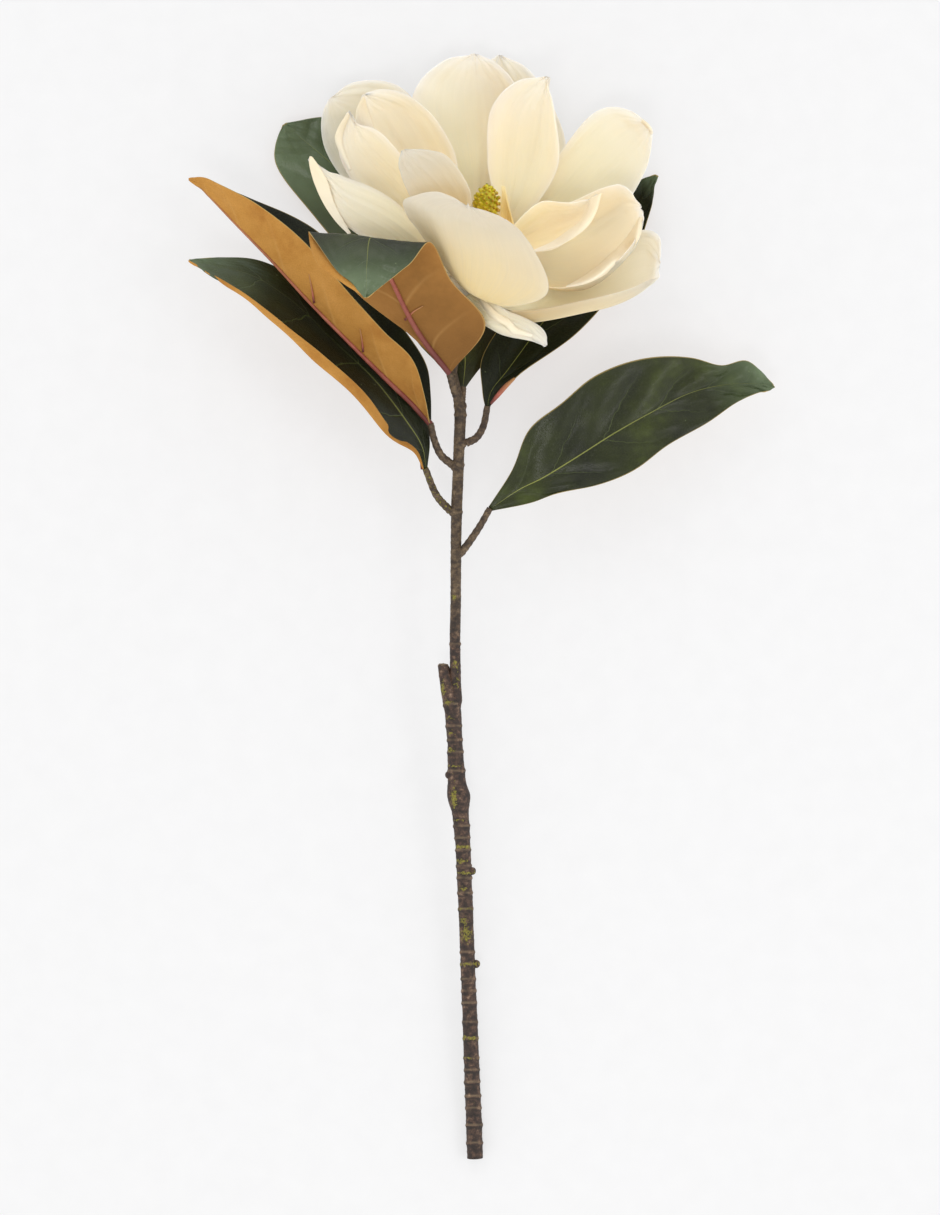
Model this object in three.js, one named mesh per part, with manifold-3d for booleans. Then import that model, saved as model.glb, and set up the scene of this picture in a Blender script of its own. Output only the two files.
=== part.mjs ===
// A cut magnolia branch with one open bloom and six leaves, lying on its back. Millimetres, +Z up.
import * as THREE from 'three';
import Module from 'manifold-3d';
import { mergeVertices } from 'three/addons/utils/BufferGeometryUtils.js';

// ---- Driving dimensions ----
const STEP = 0.635;            // mm, one step of the front view the branch is laid out on
const EYE = 2400;              // mm, height of the eye over the surface
const PLANE = 30;              // mm, height at which one step of the view is STEP long
const CENTRE = [470, 607.5];   // middle of the front view, in steps
const PETAL_THICK = 1.1;
const LEAF_THICK = 1.0;
const CLAW_RING = 7.95;        // radius of the ring on which the petals sit
const CLAW_HALF = 3.9;         // half width of a petal where it leaves the ring
const CORE_RADIUS = 7.4;
const WHORLS = [-14, -10, -6, -2, 2.2];   // heights of the petal rings along the bloom's axis
const SCAR = 0.55;             // mm, how far a leaf scar stands out of the bark
const SIDES = 8;               // faces round a twig

// A place on the front view: steps across, steps down, height over the surface in mm.
function spot([across, down, height]) {
  const scale = STEP * (EYE - height) / (EYE - PLANE);
  return new THREE.Vector3((across - CENTRE[0]) * scale, (CENTRE[1] - down) * scale, height);
}

// ---- The bloom's own axes: out of the stem, to the right and to the front ----
const HEART = spot([482, 250, 66]);
const AXIS = new THREE.Vector3(0.08, 0.83, 0.55).normalize();
const FRONT = new THREE.Vector3(0, -0.55, 0.83).normalize();
const RIGHT = new THREE.Vector3().crossVectors(AXIS, FRONT).normalize();
FRONT.crossVectors(RIGHT, AXIS).normalize();

function onAxis(height, radius, degrees) {
  const turn = THREE.MathUtils.degToRad(degrees);
  return HEART.clone()
    .addScaledVector(AXIS, height)
    .addScaledVector(RIGHT, radius * Math.cos(turn))
    .addScaledVector(FRONT, radius * Math.sin(turn));
}

// ---- Blades: a closed thin shell through three rails, edge, midrib and edge ----
// A belly makes a side bulge out past its own raised rim.
function bladeGrid(rails, look) {
  const curves = rails.map((points) => new THREE.CatmullRomCurve3(points, false, 'centripetal'));
  const grid = [];
  for (let i = 0; i <= look.rows; i++) {
    const share = i / look.rows;
    const along = 0.6 * share + 0.4 * Math.sin(share * Math.PI / 2);
    const [left, middle, right] = curves.map((curve) => curve.getPoint(along));
    const row = [];
    for (let j = 0; j <= look.cols; j++) {
      const across = 2 * j / look.cols - 1;
      const bow = (1 - look.fold) * across * across + look.fold * Math.abs(across);
      const belly = look.belly[across > 0 ? 1 : 0];
      const reach = across + belly * Math.sin(Math.PI * across);
      const point = middle.clone().multiplyScalar(1 - bow);
      point.addScaledVector(left, (bow - reach) / 2).addScaledVector(right, (bow + reach) / 2);
      row.push(point);
    }
    grid.push(row);
  }
  return grid;
}

function gridNormals(grid) {
  const last = grid.length - 1;
  const side = grid[0].length - 1;
  return grid.map((row, i) => row.map((point, j) => {
    const along = grid[Math.min(i + 1, last)][j].clone().sub(grid[Math.max(i - 1, 0)][j]);
    const across = row[Math.min(j + 1, side)].clone().sub(row[Math.max(j - 1, 0)]);
    return along.cross(across).normalize();
  }));
}

// Waves grow towards the edges; ripples are the swellings between the side veins.
function waveGrid(grid, look) {
  const normals = gridNormals(grid);
  grid.forEach((row, i) => row.forEach((point, j) => {
    const along = i / look.rows;
    const across = 2 * j / look.cols - 1;
    const reach = Math.sin(Math.PI * Math.min(1, along * 1.05));
    const phase = across > 0 ? look.phase : look.phase + 2.1;
    const wave = look.wave * Math.abs(across) ** 3 * Math.sin(2 * Math.PI * look.beats * along + phase);
    const swell = 4 * Math.abs(across) * (1 - Math.abs(across));
    const ripple = look.ripple * swell * Math.sin(2 * Math.PI * (look.veins * along - 0.6 * Math.abs(across)));
    point.addScaledVector(normals[i][j], (wave + ripple) * reach);
  }));
}

function shell(grid, thick) {
  const normals = gridNormals(grid);
  const rows = grid.length;
  const cols = grid[0].length;
  const points = [];
  for (const half of [thick / 2, -thick / 2]) {
    grid.forEach((row, i) => row.forEach((point, j) => {
      points.push(point.clone().addScaledVector(normals[i][j], half));
    }));
  }
  const faces = [];
  const at = (face, i, j) => face * rows * cols + i * cols + j;
  const quad = (a, b, c, d) => faces.push([a, b, c], [a, c, d]);
  for (let i = 0; i < rows - 1; i++) {
    for (let j = 0; j < cols - 1; j++) {
      const near = [at(0, i, j), at(0, i + 1, j), at(0, i + 1, j + 1), at(0, i, j + 1)];
      const far = near.map((index) => index + rows * cols);
      if ((i + j) % 2) {
        quad(near[0], near[1], near[2], near[3]);
        quad(far[2], far[1], far[0], far[3]);
      } else {
        quad(near[1], near[2], near[3], near[0]);
        quad(far[1], far[0], far[3], far[2]);
      }
    }
    quad(at(0, i, 0), at(1, i, 0), at(1, i + 1, 0), at(0, i + 1, 0));
    quad(at(0, i + 1, cols - 1), at(1, i + 1, cols - 1), at(1, i, cols - 1), at(0, i, cols - 1));
  }
  for (let j = 0; j < cols - 1; j++) {
    quad(at(0, 0, j + 1), at(1, 0, j + 1), at(1, 0, j), at(0, 0, j));
    quad(at(0, rows - 1, j), at(1, rows - 1, j), at(1, rows - 1, j + 1), at(0, rows - 1, j + 1));
  }
  return closed(points, faces);
}

function closed(points, faces) {
  const geometry = new THREE.BufferGeometry().setFromPoints(points);
  geometry.setIndex(faces.flat());
  return geometry;
}

const PLAIN = { rows: 10, cols: 6, fold: 0, belly: [0, 0], wave: 0, beats: 2, phase: 0, ripple: 0, veins: 5 };

function blade(rails, thick, own) {
  const look = { ...PLAIN, ...own };
  const grid = bladeGrid(rails, look);
  waveGrid(grid, look);
  return shell(grid, thick);
}

// The two edges run over a shoulder and meet the midrib at the tip, a tip half-width apart.
function closeTip(rails, tip, half, blunt, shoulders) {
  const [left, middle, right] = rails;
  const centre = middle.at(-1).clone();
  const aside = right.at(-1).clone().sub(left.at(-1)).normalize().multiplyScalar(half);
  [[left, -1], [right, 1]].forEach(([edge, way], side) => {
    const out = edge.at(-1).clone().sub(centre);
    const plain = edge.at(-1).clone().lerp(tip, 0.55).addScaledVector(out, blunt);
    edge.push(shoulders ? spot(shoulders[side]) : plain, tip.clone().addScaledVector(aside, way));
  });
  middle.push(centre.lerp(tip, 0.6), tip);
}

// ---- Petals ----
// Each starts on its ring at an angle (0 right, 90 front, 180 left, 270 back) and ends at its tip.
const PETALS = {
  petal_back: { ring: 2, angle: 266, tip: [474, 54, 26], shoulders: [[444, 60, 28], [498, 64, 27]],
    left: [[448, 190, 50], [419, 140, 32], [413, 93, 28]],
    middle: [[478, 185, 38], [475, 135, 20], [472, 88, 18]],
    right: [[508, 188, 48], [528, 138, 32], [518, 88, 28]] },
  petal_back_outer: { ring: 0, angle: 284, tip: [500, 55, 12], shoulders: [[486, 64, 8], [527, 68, 12]],
    left: [[480, 190, 34], [480, 140, 12], [480, 92, 8]],
    middle: [[515, 190, 30], [520, 140, 6], [512, 92, 5]],
    right: [[548, 195, 36], [566, 145, 14], [550, 98, 12]] },
  petal_back_inner: { ring: 3, angle: 300, tip: [548, 77, 56], shoulders: [[517, 81, 54], [549, 88, 57]],
    left: [[492, 205, 66], [486, 160, 56], [491, 108, 52]],
    middle: [[512, 205, 60], [524, 150, 48], [532, 108, 48]],
    right: [[530, 212, 64], [559, 165, 56], [557, 115, 56]] },
  petal_right_upper: { ring: 1, angle: 325, tip: [650, 124, 44], shoulders: [[632, 112, 40], [652, 142, 40]],
    left: [[522, 207, 53], [556, 155, 38], [600, 110, 36]],
    middle: [[540, 218, 40], [590, 165, 28], [630, 133, 32]],
    right: [[552, 240, 37], [618, 212, 31], [648, 170, 36]] },
  petal_right_inner: { ring: 3, angle: 10, tip: [598, 196, 94], blunt: -0.15,
    left: [[515, 222, 82], [542, 200, 84], [572, 204, 88]],
    middle: [[522, 238, 74], [552, 222, 72], [580, 213, 80]],
    right: [[526, 252, 84], [558, 247, 88], [587, 224, 92]] },
  petal_right: { ring: 2, angle: 355, tip: [641, 208, 68], shoulders: [[628, 188, 65], [641, 222, 74]],
    left: [[530, 222, 64], [578, 197, 59], [612, 186, 62]],
    middle: [[540, 248, 58], [592, 236, 47], [625, 214, 50]],
    right: [[533, 283, 68], [582, 284, 78], [631, 245, 78]], belly: [0, 0.55] },
  petal_right_lower: { ring: 0, angle: 28, tip: [660, 264, 50], shoulders: [[661, 240, 40], [657, 276, 57]],
    left: [[545, 250, 48], [600, 238, 34], [648, 229, 34]],
    middle: [[540, 285, 58], [602, 272, 40], [645, 255, 38]],
    right: [[500, 307, 69], [592, 298, 78], [643, 283, 64]], belly: [0, 0.75] },
  petal_front: { ring: 1, angle: 85, tip: [468, 206, 130], shoulders: [[433, 191, 120], [502, 218, 128]],
    left: [[446, 266, 84], [418, 230, 98], [401, 201, 108]],
    middle: [[470, 293, 100], [473, 254, 130], [467, 222, 136]],
    right: [[503, 306, 96], [548, 293, 110], [526, 240, 125]] },
  petal_left_front: { ring: 1, angle: 158, tip: [309, 158, 78], shoulders: [[318, 184, 81], [324, 169, 82]],
    left: [[428, 278, 76], [382, 250, 84], [335, 215, 82]],
    middle: [[432, 255, 84], [388, 222, 92], [345, 198, 90]],
    right: [[430, 232, 84], [388, 195, 90], [346, 178, 86]] },
  petal_left_inner: { ring: 3, angle: 150, tip: [403, 150, 96],
    left: [[446, 240, 84], [420, 212, 92], [402, 180, 94]],
    middle: [[458, 234, 86], [445, 200, 96], [422, 172, 98]],
    right: [[468, 226, 88], [471, 192, 100], [448, 157, 100]] },
  petal_left: { ring: 2, angle: 202, tip: [349, 111, 68], shoulders: [[338, 130, 65], [354, 122, 68]],
    left: [[420, 240, 70], [378, 215, 66], [342, 162, 64]],
    middle: [[430, 222, 72], [390, 180, 64], [360, 148, 64]],
    right: [[436, 206, 78], [408, 165, 75], [378, 130, 71]] },
  petal_left_upper: { ring: 3, angle: 240, tip: [364, 94, 52], shoulders: [[358, 112, 50], [386, 89, 47]],
    left: [[434, 212, 54], [396, 176, 47], [361, 130, 48]],
    middle: [[448, 205, 55], [420, 152, 43], [394, 112, 41]],
    right: [[462, 200, 64], [454, 150, 54], [424, 105, 48]] },
  petal_left_outer: { ring: 0, angle: 222, tip: [330, 98, 26], shoulders: [[322, 116, 26], [354, 82, 24]],
    left: [[400, 225, 44], [352, 190, 28], [325, 148, 26]],
    middle: [[425, 205, 40], [386, 150, 18], [356, 108, 20]],
    right: [[450, 195, 42], [434, 135, 24], [400, 86, 24]] },
  petal_small: { ring: 4, angle: 55, tip: [503, 187, 104], blunt: 0,
    left: [[493, 251, 79.5], [499, 225, 94], [501, 206, 100]],
    middle: [[496.5, 250, 78], [505, 226, 92], [506, 208, 99]],
    right: [[499.5, 248, 76.5], [513, 227, 92], [511, 210, 100]] },
  petal_hanging: { ring: 0, angle: 90, tip: [546, 346, 72], shoulders: [[532, 338, 77], [544, 331, 76]],
    left: [[446, 290, 67], [474, 321, 74], [510, 337, 79]],
    middle: [[464, 288, 76], [488, 314, 85], [520, 329, 84]],
    right: [[479, 289, 77], [500, 308, 84], [531, 319, 80]] },
};

function petal({ ring, angle, tip, left, middle, right, ...own }) {
  const foot = onAxis(WHORLS[ring], CLAW_RING, angle);
  const round = onAxis(WHORLS[ring], CLAW_RING, angle + 90).sub(onAxis(WHORLS[ring], 0, 0)).setLength(CLAW_HALF);
  const rails = [left, middle, right].map((rail) => rail.map(spot));
  const feet = [foot.clone().sub(round), foot.clone().add(round)];
  if (feet[0].distanceTo(rails[0][0]) > feet[1].distanceTo(rails[0][0])) {
    feet.reverse();
  }
  rails[0].unshift(feet[0]);
  rails[1].unshift(foot);
  rails[2].unshift(feet[1]);
  closeTip(rails, spot(tip), 1.2, own.blunt ?? 0.22, own.shoulders);
  return blade(rails, PETAL_THICK, { wave: 1.2, beats: 1.5, ...own });
}

// ---- Leaves ----
const LEAVES = {
  leaf_back_left: { stalk: [[461, 408, 48], [463, 389, 46.5]], tip: [284, 124, 14],
    left: [[440, 350, 36], [380, 290, 16], [318, 222, 6], [276, 165, 8]],
    middle: [[464, 350, 37], [430, 270, 12], [372, 200, 1.6], [318, 152, 6]],
    right: [[500, 332, 26], [484, 245, 8], [424, 168, 4], [352, 118, 8]] },
  leaf_left_upper: { stalk: [[452.6, 465, 44], [441, 455, 46], [434, 439, 48], [431, 425, 50]], tip: [189, 179, 50],
    left: [[425, 398, 58], [413, 360, 66], [385, 331, 73], [346, 289, 77], [304, 243, 77], [256, 204, 71],
      [217, 183, 60]],
    middle: [[419, 408, 50], [390, 380, 54], [352, 343, 58], [312, 303, 60], [272, 260, 60], [234, 222, 56],
      [206, 194, 52]],
    right: [[431, 396, 44], [427, 366, 42], [403, 328, 42], [360, 273, 43], [316, 229, 44], [262, 203, 46],
      [224, 188, 48]],
    shoulders: [[201, 177, 54], [198, 185, 49]], fold: 0.9, wave: 0.8, rows: 20 },
  leaf_left_lower: { stalk: [[450.5, 511, 41], [437, 496, 45], [426, 470, 50]], tip: [189, 260, 50],
    left: [[417, 450, 55], [395, 433, 59], [366, 395, 67], [326, 358, 74], [286, 325, 76], [247, 295, 72],
      [214, 275, 60]],
    middle: [[422, 447, 49.5], [405, 419, 52], [373, 378, 54], [335, 342, 55], [296, 303, 55], [255, 276, 54],
      [218, 266, 52]],
    right: [[430, 441, 45], [424, 405, 40], [396, 366, 41], [354, 322, 44], [306, 283, 46], [258, 260, 47],
      [222, 257, 48]],
    shoulders: [[200, 266, 55], [206, 258, 50]], belly: [0.7, 0], fold: 0.4, wave: 0.8, rows: 20 },
  leaf_front: { stalk: [[460, 404, 49], [455, 393, 55], [449.5, 374, 62]], tip: [366, 298, 124],
    left: [[415, 338, 80], [352, 290, 96], [308, 231, 110], [332, 264, 120]],
    middle: [[415, 326, 86], [388, 272, 108], [371, 238, 120], [367, 264, 128]],
    right: [[486, 325, 88], [451, 279, 110], [430, 244, 124], [409, 265, 129]], rows: 20, blunt: 0 },
  leaf_right_back: { stalk: [[466, 443, 46], [476, 438, 46], [483, 427, 46], [487, 408, 46]], tip: [657, 175, 12],
    left: [[482, 390, 46], [481, 362, 44], [503, 322, 36], [547, 262, 14], [615, 199, 6]],
    middle: [[491, 392, 44], [508, 370, 40], [545, 320, 26], [596, 258, 2.8], [638, 206, 4]],
    right: [[500, 393, 46], [520, 375, 44], [576, 333, 32], [633, 262, 10], [650, 216, 8]],
    shoulders: [[640, 180, 8], [653, 190, 10]] },
  leaf_right: { stalk: [[461, 553, 38], [470, 541, 41], [480, 526, 43.5], [489, 510, 45]], tip: [774, 386, 26],
    left: [[512, 470, 52], [529, 429, 57], [562, 403, 60], [597, 375, 60], [645, 358, 54], [690, 357, 46],
      [722, 365.5, 38], [745, 360, 35]],
    middle: [[520, 489, 48], [541, 479, 51], [577, 457, 53], [613, 434, 52], [650, 413, 47.5], [690, 393, 40],
      [725, 385, 34], [752, 384, 30]],
    right: [[531, 503, 50], [556, 494, 54], [597, 486, 55.5], [634, 471, 54], [668, 445, 48], [709, 422, 41],
      [738, 402, 35], [760, 391.5, 31]],
    shoulders: [[759, 369, 31], [769, 390, 28]], ripple: 1.8, veins: 8, wave: 0.6, rows: 24 },
};
const STALK_RADIUS = 2.3;

function leaf({ stalk, tip, left, middle, right, ...own }) {
  const foot = spot(stalk.at(-1));
  const rails = [left, middle, right].map((rail) => rail.map(spot));
  const away = rails[1][0].clone().sub(spot(stalk.at(-2))).normalize();
  foot.addScaledVector(away, 0.9);
  const aside = rails[2][0].clone().sub(rails[0][0]);
  aside.addScaledVector(away, -aside.dot(away)).setLength(1.6);
  rails[0].unshift(foot.clone().sub(aside));
  rails[1].unshift(foot);
  rails[2].unshift(foot.clone().add(aside));
  closeTip(rails, spot(tip), 1.0, own.blunt ?? 0.12, own.shoulders);
  return blade(rails, LEAF_THICK, { rows: 16, wave: 1.5, beats: 3, fold: 0.3, ...own });
}

// ---- Woody limbs ----
// A limb runs through stations [across, down, height, width in steps].
function limb(stations, sides = SIDES) {
  const path = new THREE.CatmullRomCurve3(stations.map(spot), false, 'centripetal');
  const frames = stations.map((station, i) => {
    const tangent = path.getTangent(i / (stations.length - 1));
    const side = new THREE.Vector3(0, 0, 1).cross(tangent).normalize();
    return [side, tangent.clone().cross(side).normalize()];
  });
  const points = [];
  const faces = [];
  stations.forEach((station, i) => {
    const radius = station[3] * STEP / 2;
    const [side, lift] = frames[i];
    for (let k = 0; k < sides; k++) {
      const turn = 2 * Math.PI * (k + 0.5 * (i % 2)) / sides;
      points.push(spot(station).addScaledVector(side, radius * Math.cos(turn))
        .addScaledVector(lift, radius * Math.sin(turn)));
    }
  });
  const at = (i, k) => i * sides + k % sides;
  for (let i = 0; i < stations.length - 1; i++) {
    for (let k = 0; k < sides; k++) {
      if (i % 2) {
        faces.push([at(i, k), at(i, k + 1), at(i + 1, k + 1)], [at(i, k), at(i + 1, k + 1), at(i + 1, k)]);
      } else {
        faces.push([at(i, k), at(i, k + 1), at(i + 1, k)], [at(i, k + 1), at(i + 1, k + 1), at(i + 1, k)]);
      }
    }
  }
  for (const [ring, flip] of [[0, true], [stations.length - 1, false]]) {
    for (let k = 1; k < sides - 1; k++) {
      faces.push(flip ? [at(ring, 0), at(ring, k + 1), at(ring, k)] : [at(ring, 0), at(ring, k), at(ring, k + 1)]);
    }
  }
  return closed(points, faces);
}

const TRUNK = [[475, 1158, 5.9, 16.5], [474, 1122, 6.6, 16.5], [472.5, 1088, 8, 16], [470, 1019, 11.5, 15.5],
  [468.5, 984, 13.5, 15], [466, 915, 17, 15], [463, 847, 21, 15.5], [460.5, 812, 23, 17], [458.5, 795, 24, 19.5],
  [456.5, 778, 25, 18], [455, 743, 27, 15.5], [453, 712, 29, 17], [448, 690, 30, 15], [443, 664, 31, 11]];
const SHOOT = [[455, 712, 29, 10], [456.5, 700, 29.5, 12], [455.5, 684, 30.5, 11.5], [455, 638, 33, 11],
  [455.7, 604, 35, 11], [456, 547, 38, 11], [456.5, 512, 40.5, 11.5], [458.8, 455, 45, 11.5], [460.5, 412, 49, 12],
  [457, 392, 50, 9.5], [453, 373, 49.5, 8.5], [457, 345, 47.5, 8.5], [469, 308, 47, 9], [479, 282, 52.8, 12],
  [479.7, 274.6, 55.8, 15]];
const TRUNK_SCARS = [1143, 1125, 1108, 1096, 1082, 1070, 1058, 1038, 1022, 1003, 991, 979, 964, 952, 909, 893,
  878, 866, 850, 838, 826, 771, 752, 740, 726, 704];
const SHOOT_SCARS = [644, 512, 465, 415];

// Stations of a limb with a scar ring put in at each of the given places.
function scarred(stations, scars) {
  const marks = [...stations.map((station) => [station[1], 0])];
  scars.forEach((down) => marks.push([down + 2.8, 0], [down, 1], [down - 2.8, 0]));
  marks.sort((a, b) => b[0] - a[0]);
  const kept = marks.filter(([down, scar], i) => i === 0 || marks[i - 1][0] - down > 0.8);
  return kept.map(([down, scar]) => {
    const next = Math.max(1, stations.findIndex((station) => station[1] <= down));
    const [low, high] = [stations[next - 1], stations[next]];
    const share = (low[1] - down) / (low[1] - high[1]);
    const station = low.map((value, axis) => value + share * (high[axis] - value));
    station[3] += scar * 2 * SCAR / STEP;
    return station;
  });
}

const KNOBS = [[449, 775, 26, 4.2], [472, 871, 19, 4.2], [476, 964, 14, 4.4], [458.5, 552, 38, 6.4],
  [454.5, 511, 40.5, 6.4], [456.5, 466, 44, 6.4], [461, 443, 46, 6.4], [460, 406, 49, 6.8]];

function knob([across, down, height, size]) {
  const ball = new THREE.IcosahedronGeometry(size * STEP, 1);
  const centre = spot([across, down, height]);
  ball.translate(centre.x, centre.y, centre.z);
  return ball;
}

function stalk(points) {
  const half = points.length - 1;
  return limb(points.map((point, i) => [...point, 2 * STALK_RADIUS / STEP * (i === half ? 0.85 : 1)]), 7);
}

// ---- Joining bodies ----
const wasm = await Module();
wasm.setup();

function solid(geometry) {
  const bare = geometry.clone();
  bare.deleteAttribute('normal');
  bare.deleteAttribute('uv');
  const merged = mergeVertices(bare, 1e-4);
  return new wasm.Manifold(new wasm.Mesh({ numProp: 3,
    vertProperties: new Float32Array(merged.attributes.position.array),
    triVerts: new Uint32Array(merged.index.array) }));
}

function joined(geometries) {
  const body = geometries.map(solid).reduce((sum, next) => sum.add(next));
  const mesh = body.getMesh();
  const geometry = new THREE.BufferGeometry();
  geometry.setAttribute('position', new THREE.BufferAttribute(new Float32Array(mesh.vertProperties), 3));
  geometry.setIndex([...mesh.triVerts]);
  return geometry;
}

function branch() {
  const stalks = Object.values(LEAVES).map((one) => stalk(one.stalk));
  return joined([limb(scarred(TRUNK, TRUNK_SCARS)), limb(scarred(SHOOT, SHOOT_SCARS)),
    ...KNOBS.map(knob), ...stalks]);
}

// ---- The bloom's heart: a core set with curled pistils, and a ring of stamens ----
const CORE = [[-17.5, 0], [-17.5, 6.2], [-14, CORE_RADIUS], [3, CORE_RADIUS], [10, 6.4], [24, 7.2], [34, 6.6],
  [41, 4.2], [44, 0]];
const PISTILS = 30;
const STAMENS = 26;
const GOLDEN = 137.5;

function lay(geometry) {
  const turn = new THREE.Matrix4().makeBasis(RIGHT, AXIS, RIGHT.clone().cross(AXIS));
  return geometry.applyMatrix4(turn.setPosition(HEART));
}

function spike(from, to, wide, narrow, sides) {
  const along = to.clone().sub(from);
  const cone = new THREE.CylinderGeometry(narrow, wide, along.length(), sides, 1);
  cone.translate(0, along.length() / 2, 0);
  cone.applyQuaternion(new THREE.Quaternion().setFromUnitVectors(new THREE.Vector3(0, 1, 0), along.normalize()));
  return cone.translate(from.x, from.y, from.z);
}

function pistils() {
  const core = lay(new THREE.LatheGeometry(CORE.map(([height, radius]) => new THREE.Vector2(radius, height)), 12));
  const pieces = [core];
  for (let k = 0; k < PISTILS; k++) {
    const height = 19 + 23 * k / PISTILS;
    const reach = k / PISTILS > 0.8 ? 3.4 : 6;
    const from = onAxis(height - 1, reach - 2.6, GOLDEN * k);
    const elbow = onAxis(height + 2.2, reach + 2.6, GOLDEN * k);
    pieces.push(spike(from, elbow, 1.7, 1.1, 5));
  }
  return joined(pieces);
}

function stamens() {
  const collar = [[4.6, 7.8], [4.6, 9], [8.4, 9.6], [8.4, 7.8], [4.6, 7.8]];
  const ring = lay(new THREE.LatheGeometry(collar.map(([height, radius]) => new THREE.Vector2(radius, height)), 20));
  const pieces = [ring];
  for (let k = 0; k < STAMENS; k++) {
    const turn = 360 * k / STAMENS;
    const tall = 17 + 2.5 * Math.sin(k * 2.3);
    pieces.push(spike(onAxis(6, 8.7, turn), onAxis(tall, 10 + (k % 2), turn), 0.95, 0.6, 4));
  }
  return joined(pieces);
}

// ---- The part ----
const SKINS = {
  petal: { color: 0xf1e7cb, roughness: 0.55, metalness: 0 },
  leaf: { color: 0x33493a, roughness: 0.4, metalness: 0 },
  bark: { color: 0x65564b, roughness: 0.85, metalness: 0 },
  pistil: { color: 0xc3b42a, roughness: 0.6, metalness: 0 },
  stamen: { color: 0xd8b64a, roughness: 0.6, metalness: 0 },
};

const part = new THREE.Group();
part.name = 'magnolia_branch';

function add(name, geometry, skin) {
  const mesh = new THREE.Mesh(geometry, new THREE.MeshStandardMaterial(SKINS[skin]));
  mesh.name = name;
  part.add(mesh);
}

add('branch', branch(), 'bark');
Object.entries(LEAVES).forEach(([name, shape]) => add(name, leaf(shape), 'leaf'));
Object.entries(PETALS).forEach(([name, shape]) => add(name, petal(shape), 'petal'));
add('pistils', pistils(), 'pistil');
add('stamens', stamens(), 'stamen');

// The origin is the middle of the underside of the box round the part.
const box = new THREE.Box3().setFromObject(part, true);
part.position.set(-(box.min.x + box.max.x) / 2, -(box.min.y + box.max.y) / 2, -box.min.z);

export default part;
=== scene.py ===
# %% [markdown]
# # A cut magnolia branch
# This lesson dresses a cut branch that lies on its back: one open cream bloom, six leathery leaves
# and a woody twig. Everything is in metres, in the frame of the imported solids: +Y runs from the cut
# end to the bloom, +Z is up and the camera looks straight down.

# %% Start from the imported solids
import math
import bpy
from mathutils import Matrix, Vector, noise


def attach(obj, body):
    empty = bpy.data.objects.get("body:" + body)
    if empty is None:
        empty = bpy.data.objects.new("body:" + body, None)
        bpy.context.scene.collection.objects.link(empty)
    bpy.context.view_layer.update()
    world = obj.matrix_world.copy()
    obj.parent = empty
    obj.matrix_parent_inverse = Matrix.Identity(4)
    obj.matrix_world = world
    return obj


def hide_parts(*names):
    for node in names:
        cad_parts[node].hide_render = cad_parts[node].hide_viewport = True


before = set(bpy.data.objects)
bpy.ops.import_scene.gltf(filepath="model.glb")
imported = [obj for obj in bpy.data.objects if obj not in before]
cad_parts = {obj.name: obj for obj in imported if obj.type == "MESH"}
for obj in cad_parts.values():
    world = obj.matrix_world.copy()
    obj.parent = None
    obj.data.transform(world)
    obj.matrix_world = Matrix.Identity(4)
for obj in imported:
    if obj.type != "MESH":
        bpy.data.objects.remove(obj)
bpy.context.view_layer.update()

# %% [markdown]
# ## Where things are
# The branch was laid out on a front view, in steps of 0.635 mm, with a height in millimetres over the
# surface. The eye is 2.4 m up, so what stands higher looks larger, and a step there is shorter.

# %% The front view
STEP = 0.635
EYE = 2400.0
PLANE = 30.0
VIEW = (940, 1215)
CENTRE = (VIEW[0] / 2, VIEW[1] / 2)
SHIFT = Vector((-8.394, -0.270, -0.406))


def step_at(height):
    return STEP * (EYE - height) / (EYE - PLANE)


def spot(place):
    """Steps across and down the view and a height, as millimetres round the view's middle."""
    across, down, height = place[:3]
    scale = step_at(height)
    return Vector(((across - CENTRE[0]) * scale, (CENTRE[1] - down) * scale, height))


def settled(point):
    """A point in millimetres of the front view, as a place in the frame in metres."""
    return (point + SHIFT) / 1000.0


# %% [markdown]
# ## Camera, light and ground
# A branch laid down is looked at from straight above. The room is bright low down all round and dimmer
# overhead, and the ground is paper lit from below, so the shadows stay thin. One small lamp is overhead
# and one at the right, where the swellings between the veins of the long leaf mirror them towards the
# eye; a wider one behind the bloom gives the petals their roundness.

# %% Camera
SENSOR = 36.0


def make_camera():
    data = bpy.data.cameras.new("camera")
    data.sensor_width = SENSOR
    data.lens = SENSOR * (EYE - PLANE) / (VIEW[1] * STEP)
    data.clip_end = 20.0
    camera = bpy.data.objects.new("camera", data)
    camera.location = settled(Vector((0, 0, EYE)))
    bpy.context.collection.objects.link(camera)
    bpy.context.scene.camera = camera
    print("camera lens:", round(data.lens, 1))


make_camera()


# %% Lamps and room light
LAMP_AIM = Vector((0, 0.12, 0.04))
LAMP_TINT = (1.0, 0.985, 0.965)


def make_lamp(name, place, size, power):
    data = bpy.data.lights.new(name, "AREA")
    data.size = size
    data.energy = power
    data.color = LAMP_TINT
    lamp = bpy.data.objects.new(name, data)
    lamp.location = place
    lamp.rotation_euler = (LAMP_AIM - lamp.location).to_track_quat("-Z", "Y").to_euler()
    bpy.context.collection.objects.link(lamp)


make_lamp("over", (-0.2, -0.7, 2.5), 0.6, 9.4)
make_lamp("right", (1.8, -0.25, 2.1), 0.8, 9.0)
make_lamp("back", (-0.9, 2.1, 2.3), 1.2, 8.0)


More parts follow.
